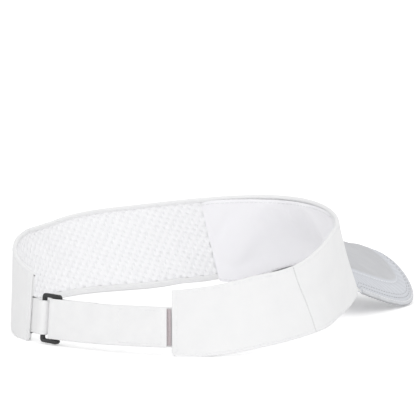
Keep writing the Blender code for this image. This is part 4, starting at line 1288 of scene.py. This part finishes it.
def ring_tab():
    sewn = LEFT_END + 0.008
    path = joined(run_along(sewn, LEFT_END, TAB_OUTER_MIDDLE, TAB_OUTER_MIDDLE),
                  run_along(LEFT_END, TAB_BAR, TAB_OUTER_MIDDLE, RING_OFFSET + TAB_FOLD),
                  fold_round(TAB_BAR, TAB_FOLD, -1.0, 1.0),
                  run_along(TAB_BAR, LEFT_END, RING_OFFSET - TAB_FOLD, TAB_INNER_MIDDLE),
                  run_along(LEFT_END, sewn, TAB_INNER_MIDDLE, TAB_INNER_MIDDLE))

    def foot(arc):
        return np.full_like(arc, RING_MIDDLE - TAB_WIDTH / 2)

    webbing("ring_tab_webbing", path, TAB_THICKNESS, foot, TAB_WIDTH, WEBBING, "visor", "ring_tab")


def box(size, at=(0.0, 0.0, 0.0)):
    bpy.ops.object.select_all(action="DESELECT")
    bpy.ops.mesh.primitive_cube_add(size=1.0, location=at)
    piece = bpy.context.object
    piece.scale = size
    bpy.ops.object.transform_apply(location=True, scale=True)
    return piece


def round_uprights(piece, radius, segments):
    """Rounds the four upright edges of a box."""
    bpy.ops.object.mode_set(mode="EDIT")
    bpy.ops.mesh.select_mode(type="EDGE")
    bpy.ops.mesh.select_all(action="DESELECT")
    bpy.ops.object.mode_set(mode="OBJECT")
    for edge in piece.data.edges:
        a, b = (piece.data.vertices[i].co for i in edge.vertices)
        edge.select = abs(a.z - b.z) > 0.001
    bpy.ops.object.mode_set(mode="EDIT")
    bpy.ops.mesh.bevel(offset=radius, segments=segments, affect="EDGES")
    bpy.ops.object.mode_set(mode="OBJECT")


def cut(piece, tool):
    apply(piece, "BOOLEAN", object=tool, operation="DIFFERENCE", solver="EXACT")
    bpy.data.meshes.remove(tool.data)


def slider_ring():
    """Rectangular ring: a rounded frame cut from a plate, its strap bar thinned inside the strap."""
    angle = float(angle_at(TAB_BAR))
    up = on_wall(UP, np.array(angle))
    centre = wall(angle, RING_OFFSET, RING_MIDDLE)
    near = wall(float(angle_at(STRAP_BAR)), RING_OFFSET, RING_MIDDLE)
    across = near - centre
    across = unit(across - up * np.dot(across, up))
    face = np.cross(across, up)
    middle_point = centre + across * RING_SPACING / 2
    slot_high = STRAP_WIDTH + 0.0008
    slot_wide = RING_SPACING - RING_BAR
    wide, high = slot_wide + RING_BAR + RING_STRAP_BAR, slot_high + 2 * RING_BAR
    ring = box((wide, high, RING_PLATE), ((RING_STRAP_BAR - RING_BAR) / 2, 0.0, 0.0))
    ring.name = ring.data.name = "slider_ring_frame"
    round_uprights(ring, RING_CORNER, 6)
    slot_cut = box((slot_wide, slot_high, 0.01))
    round_uprights(slot_cut, SLOT_CORNER, 4)
    cut(ring, slot_cut)
    lip = slot_wide / 2 + 0.0016
    for side in (1.0, -1.0):
        cut(ring, box((0.01, slot_high, 0.01), (lip + 0.005, 0.0, side * 0.0056)))
    apply(ring, "BEVEL", width=RING_EDGE, segments=4, limit_method="ANGLE", angle_limit=math.radians(50))
    axes = (across, up, face, middle_point)
    ring.data.transform(Matrix([[float(axis[i]) for axis in axes] for i in range(3)] + [[0.0, 0.0, 0.0, 1.0]]))
    points = np.array([v.co for v in ring.data.vertices])
    ring.data.vertices.foreach_set("co", at_rest(points).astype(np.float32).ravel())
    ring.data.update()
    edit(ring, lambda: bpy.ops.mesh.normals_make_consistent(inside=False))
    smooth(ring, 40.0)
    dress(ring, RING, "ring", ["slider_ring"])


# ---- set, camera and light ---------------------------------------------------------------

def floor():
    bpy.ops.object.select_all(action="DESELECT")
    bpy.ops.mesh.primitive_plane_add(size=8.0)
    ground = bpy.context.object
    ground.name = "studio_floor"
    material = bpy.data.materials.new("studio_floor_white")
    material.use_nodes = True
    nodes, links = material.node_tree.nodes, material.node_tree.links
    shader = nodes["Principled BSDF"]
    shader.inputs["Base Color"].default_value = (0.96, 0.96, 0.96, 1.0)
    shader.inputs["Roughness"].default_value = 0.9
    shader.inputs["Specular IOR Level"].default_value = 0.0
    path = nodes.new("ShaderNodeLightPath")
    seen = nodes.new("ShaderNodeMath")
    seen.operation = "MAXIMUM"
    links.new(path.outputs["Is Camera Ray"], seen.inputs[0])
    links.new(path.outputs["Is Glossy Ray"], seen.inputs[1])
    glow = nodes.new("ShaderNodeMath")
    glow.operation = "MULTIPLY"
    glow.inputs[1].default_value = 0.26
    links.new(seen.outputs[0], glow.inputs[0])
    shader.inputs["Emission Color"].default_value = (1.0, 1.0, 1.0, 1.0)
    links.new(glow.outputs[0], shader.inputs["Emission Strength"])
    ground.data.materials.append(material)


WORLD_LEVEL = 0.90


def world():
    sky = bpy.data.worlds.new("studio_white")
    bpy.context.scene.world = sky
    sky.use_nodes = True
    nodes, links = sky.node_tree.nodes, sky.node_tree.links
    back = nodes["Background"]
    back.inputs["Color"].default_value = (1.0, 1.0, 1.0, 1.0)
    path = nodes.new("ShaderNodeLightPath")
    seen = path.outputs["Is Camera Ray"]
    for ray in ("Is Glossy Ray", "Is Transmission Ray"):
        either = nodes.new("ShaderNodeMath")
        either.operation = "MAXIMUM"
        links.new(seen, either.inputs[0])
        links.new(path.outputs[ray], either.inputs[1])
        seen = either.outputs[0]
    level = nodes.new("ShaderNodeMapRange")
    links.new(seen, level.inputs["Value"])
    level.inputs["To Min"].default_value = WORLD_LEVEL
    level.inputs["To Max"].default_value = 1.0
    links.new(level.outputs["Result"], back.inputs["Strength"])


def soft_sun(name, azimuth, elevation, spread, strength):
    """Even light from a wide part of the sky, from an azimuth and elevation."""
    a, e = math.radians(azimuth), math.radians(elevation)
    direction = np.array([math.sin(a) * math.cos(e), -math.cos(a) * math.cos(e), math.sin(e)])
    lamp = bpy.data.lights.new(name, "SUN")
    lamp.angle = math.radians(spread)
    lamp.energy = strength
    stand = bpy.data.objects.new(name, lamp)
    bpy.context.collection.objects.link(stand)
    right = unit(np.cross((0.0, 0.0, 1.0), direction))
    up = np.cross(direction, right)
    at = direction * 2.6
    stand.matrix_world = Matrix([[right[i], up[i], direction[i], at[i]] for i in range(3)] + [[0, 0, 0, 1]])


def camera():
    """Long lens from behind the wearer's right, a little above the table."""
    turn, rise, roll = math.radians(36.19669), math.radians(11.02606), math.radians(2.79643)
    distance, focal, centre_x, centre_y = 3.4969837, 6890.4549, 196.67523, 279.26367
    look = np.array([math.sin(turn) * math.cos(rise), -math.cos(turn) * math.cos(rise), -math.sin(rise)])
    right = np.array([-math.cos(turn), -math.sin(turn), 0.0])
    up = np.array([math.sin(turn) * math.sin(rise), -math.cos(turn) * math.sin(rise), math.cos(rise)])
    aside = (centre_x - 209.5) * distance / focal
    above = -(centre_y - 209.5) * distance / focal
    place = np.array([0.0, 0.0, 0.020]) - look * distance - right * aside - up * above
    right_rolled = right * math.cos(roll) - up * math.sin(roll)
    up_rolled = right * math.sin(roll) + up * math.cos(roll)
    columns = [turned(v) for v in (right_rolled, up_rolled, -look)] + [turned(place) + REST_SHIFT]
    lens = bpy.data.cameras.new("photo_camera")
    lens.sensor_width = 36.0
    lens.lens = 36.0 * focal / 419.0
    lens.clip_start, lens.clip_end = 0.1, 50.0
    stand = bpy.data.objects.new("photo_camera", lens)
    bpy.context.collection.objects.link(stand)
    stand.matrix_world = Matrix([[columns[k][i] for k in range(4)] for i in range(3)] + [[0, 0, 0, 1]])
    bpy.context.scene.camera = stand


camera()
floor()
world()
soft_sun("wide_key", 224.0, 28.0, 50.0, 0.64)
bpy.context.scene.view_settings.view_transform = "Standard"

shell()
shell_stitches()
inner_rows = []
strap_span = (STRAP_LIFT_PANEL, STRAP_LIFT_PANEL + STRAP_WIDTH)
tab_span = (RING_MIDDLE - TAB_WIDTH / 2, RING_MIDDLE + TAB_WIDTH / 2)
for label, side, facing, span in (("right", 1.0, -0.0030, strap_span), ("left", -1.0, -0.0041, tab_span)):
    mesh_lining(label + "_mesh", side, label + "_mesh_lining")
    inner_rows += bottom_tape(label + "_tape", side, label + "_bottom_tape")
    inner_rows += end_facing(label + "_facing", side, facing, *span, label + "_end_facing")
front_stiffener()
inner_rows += sweatband()
stitch_rows("inner_stitches", inner_rows, THREAD)
brim()
strap()
ring_tab()
slider_ring()

bpy.context.view_layer.update()
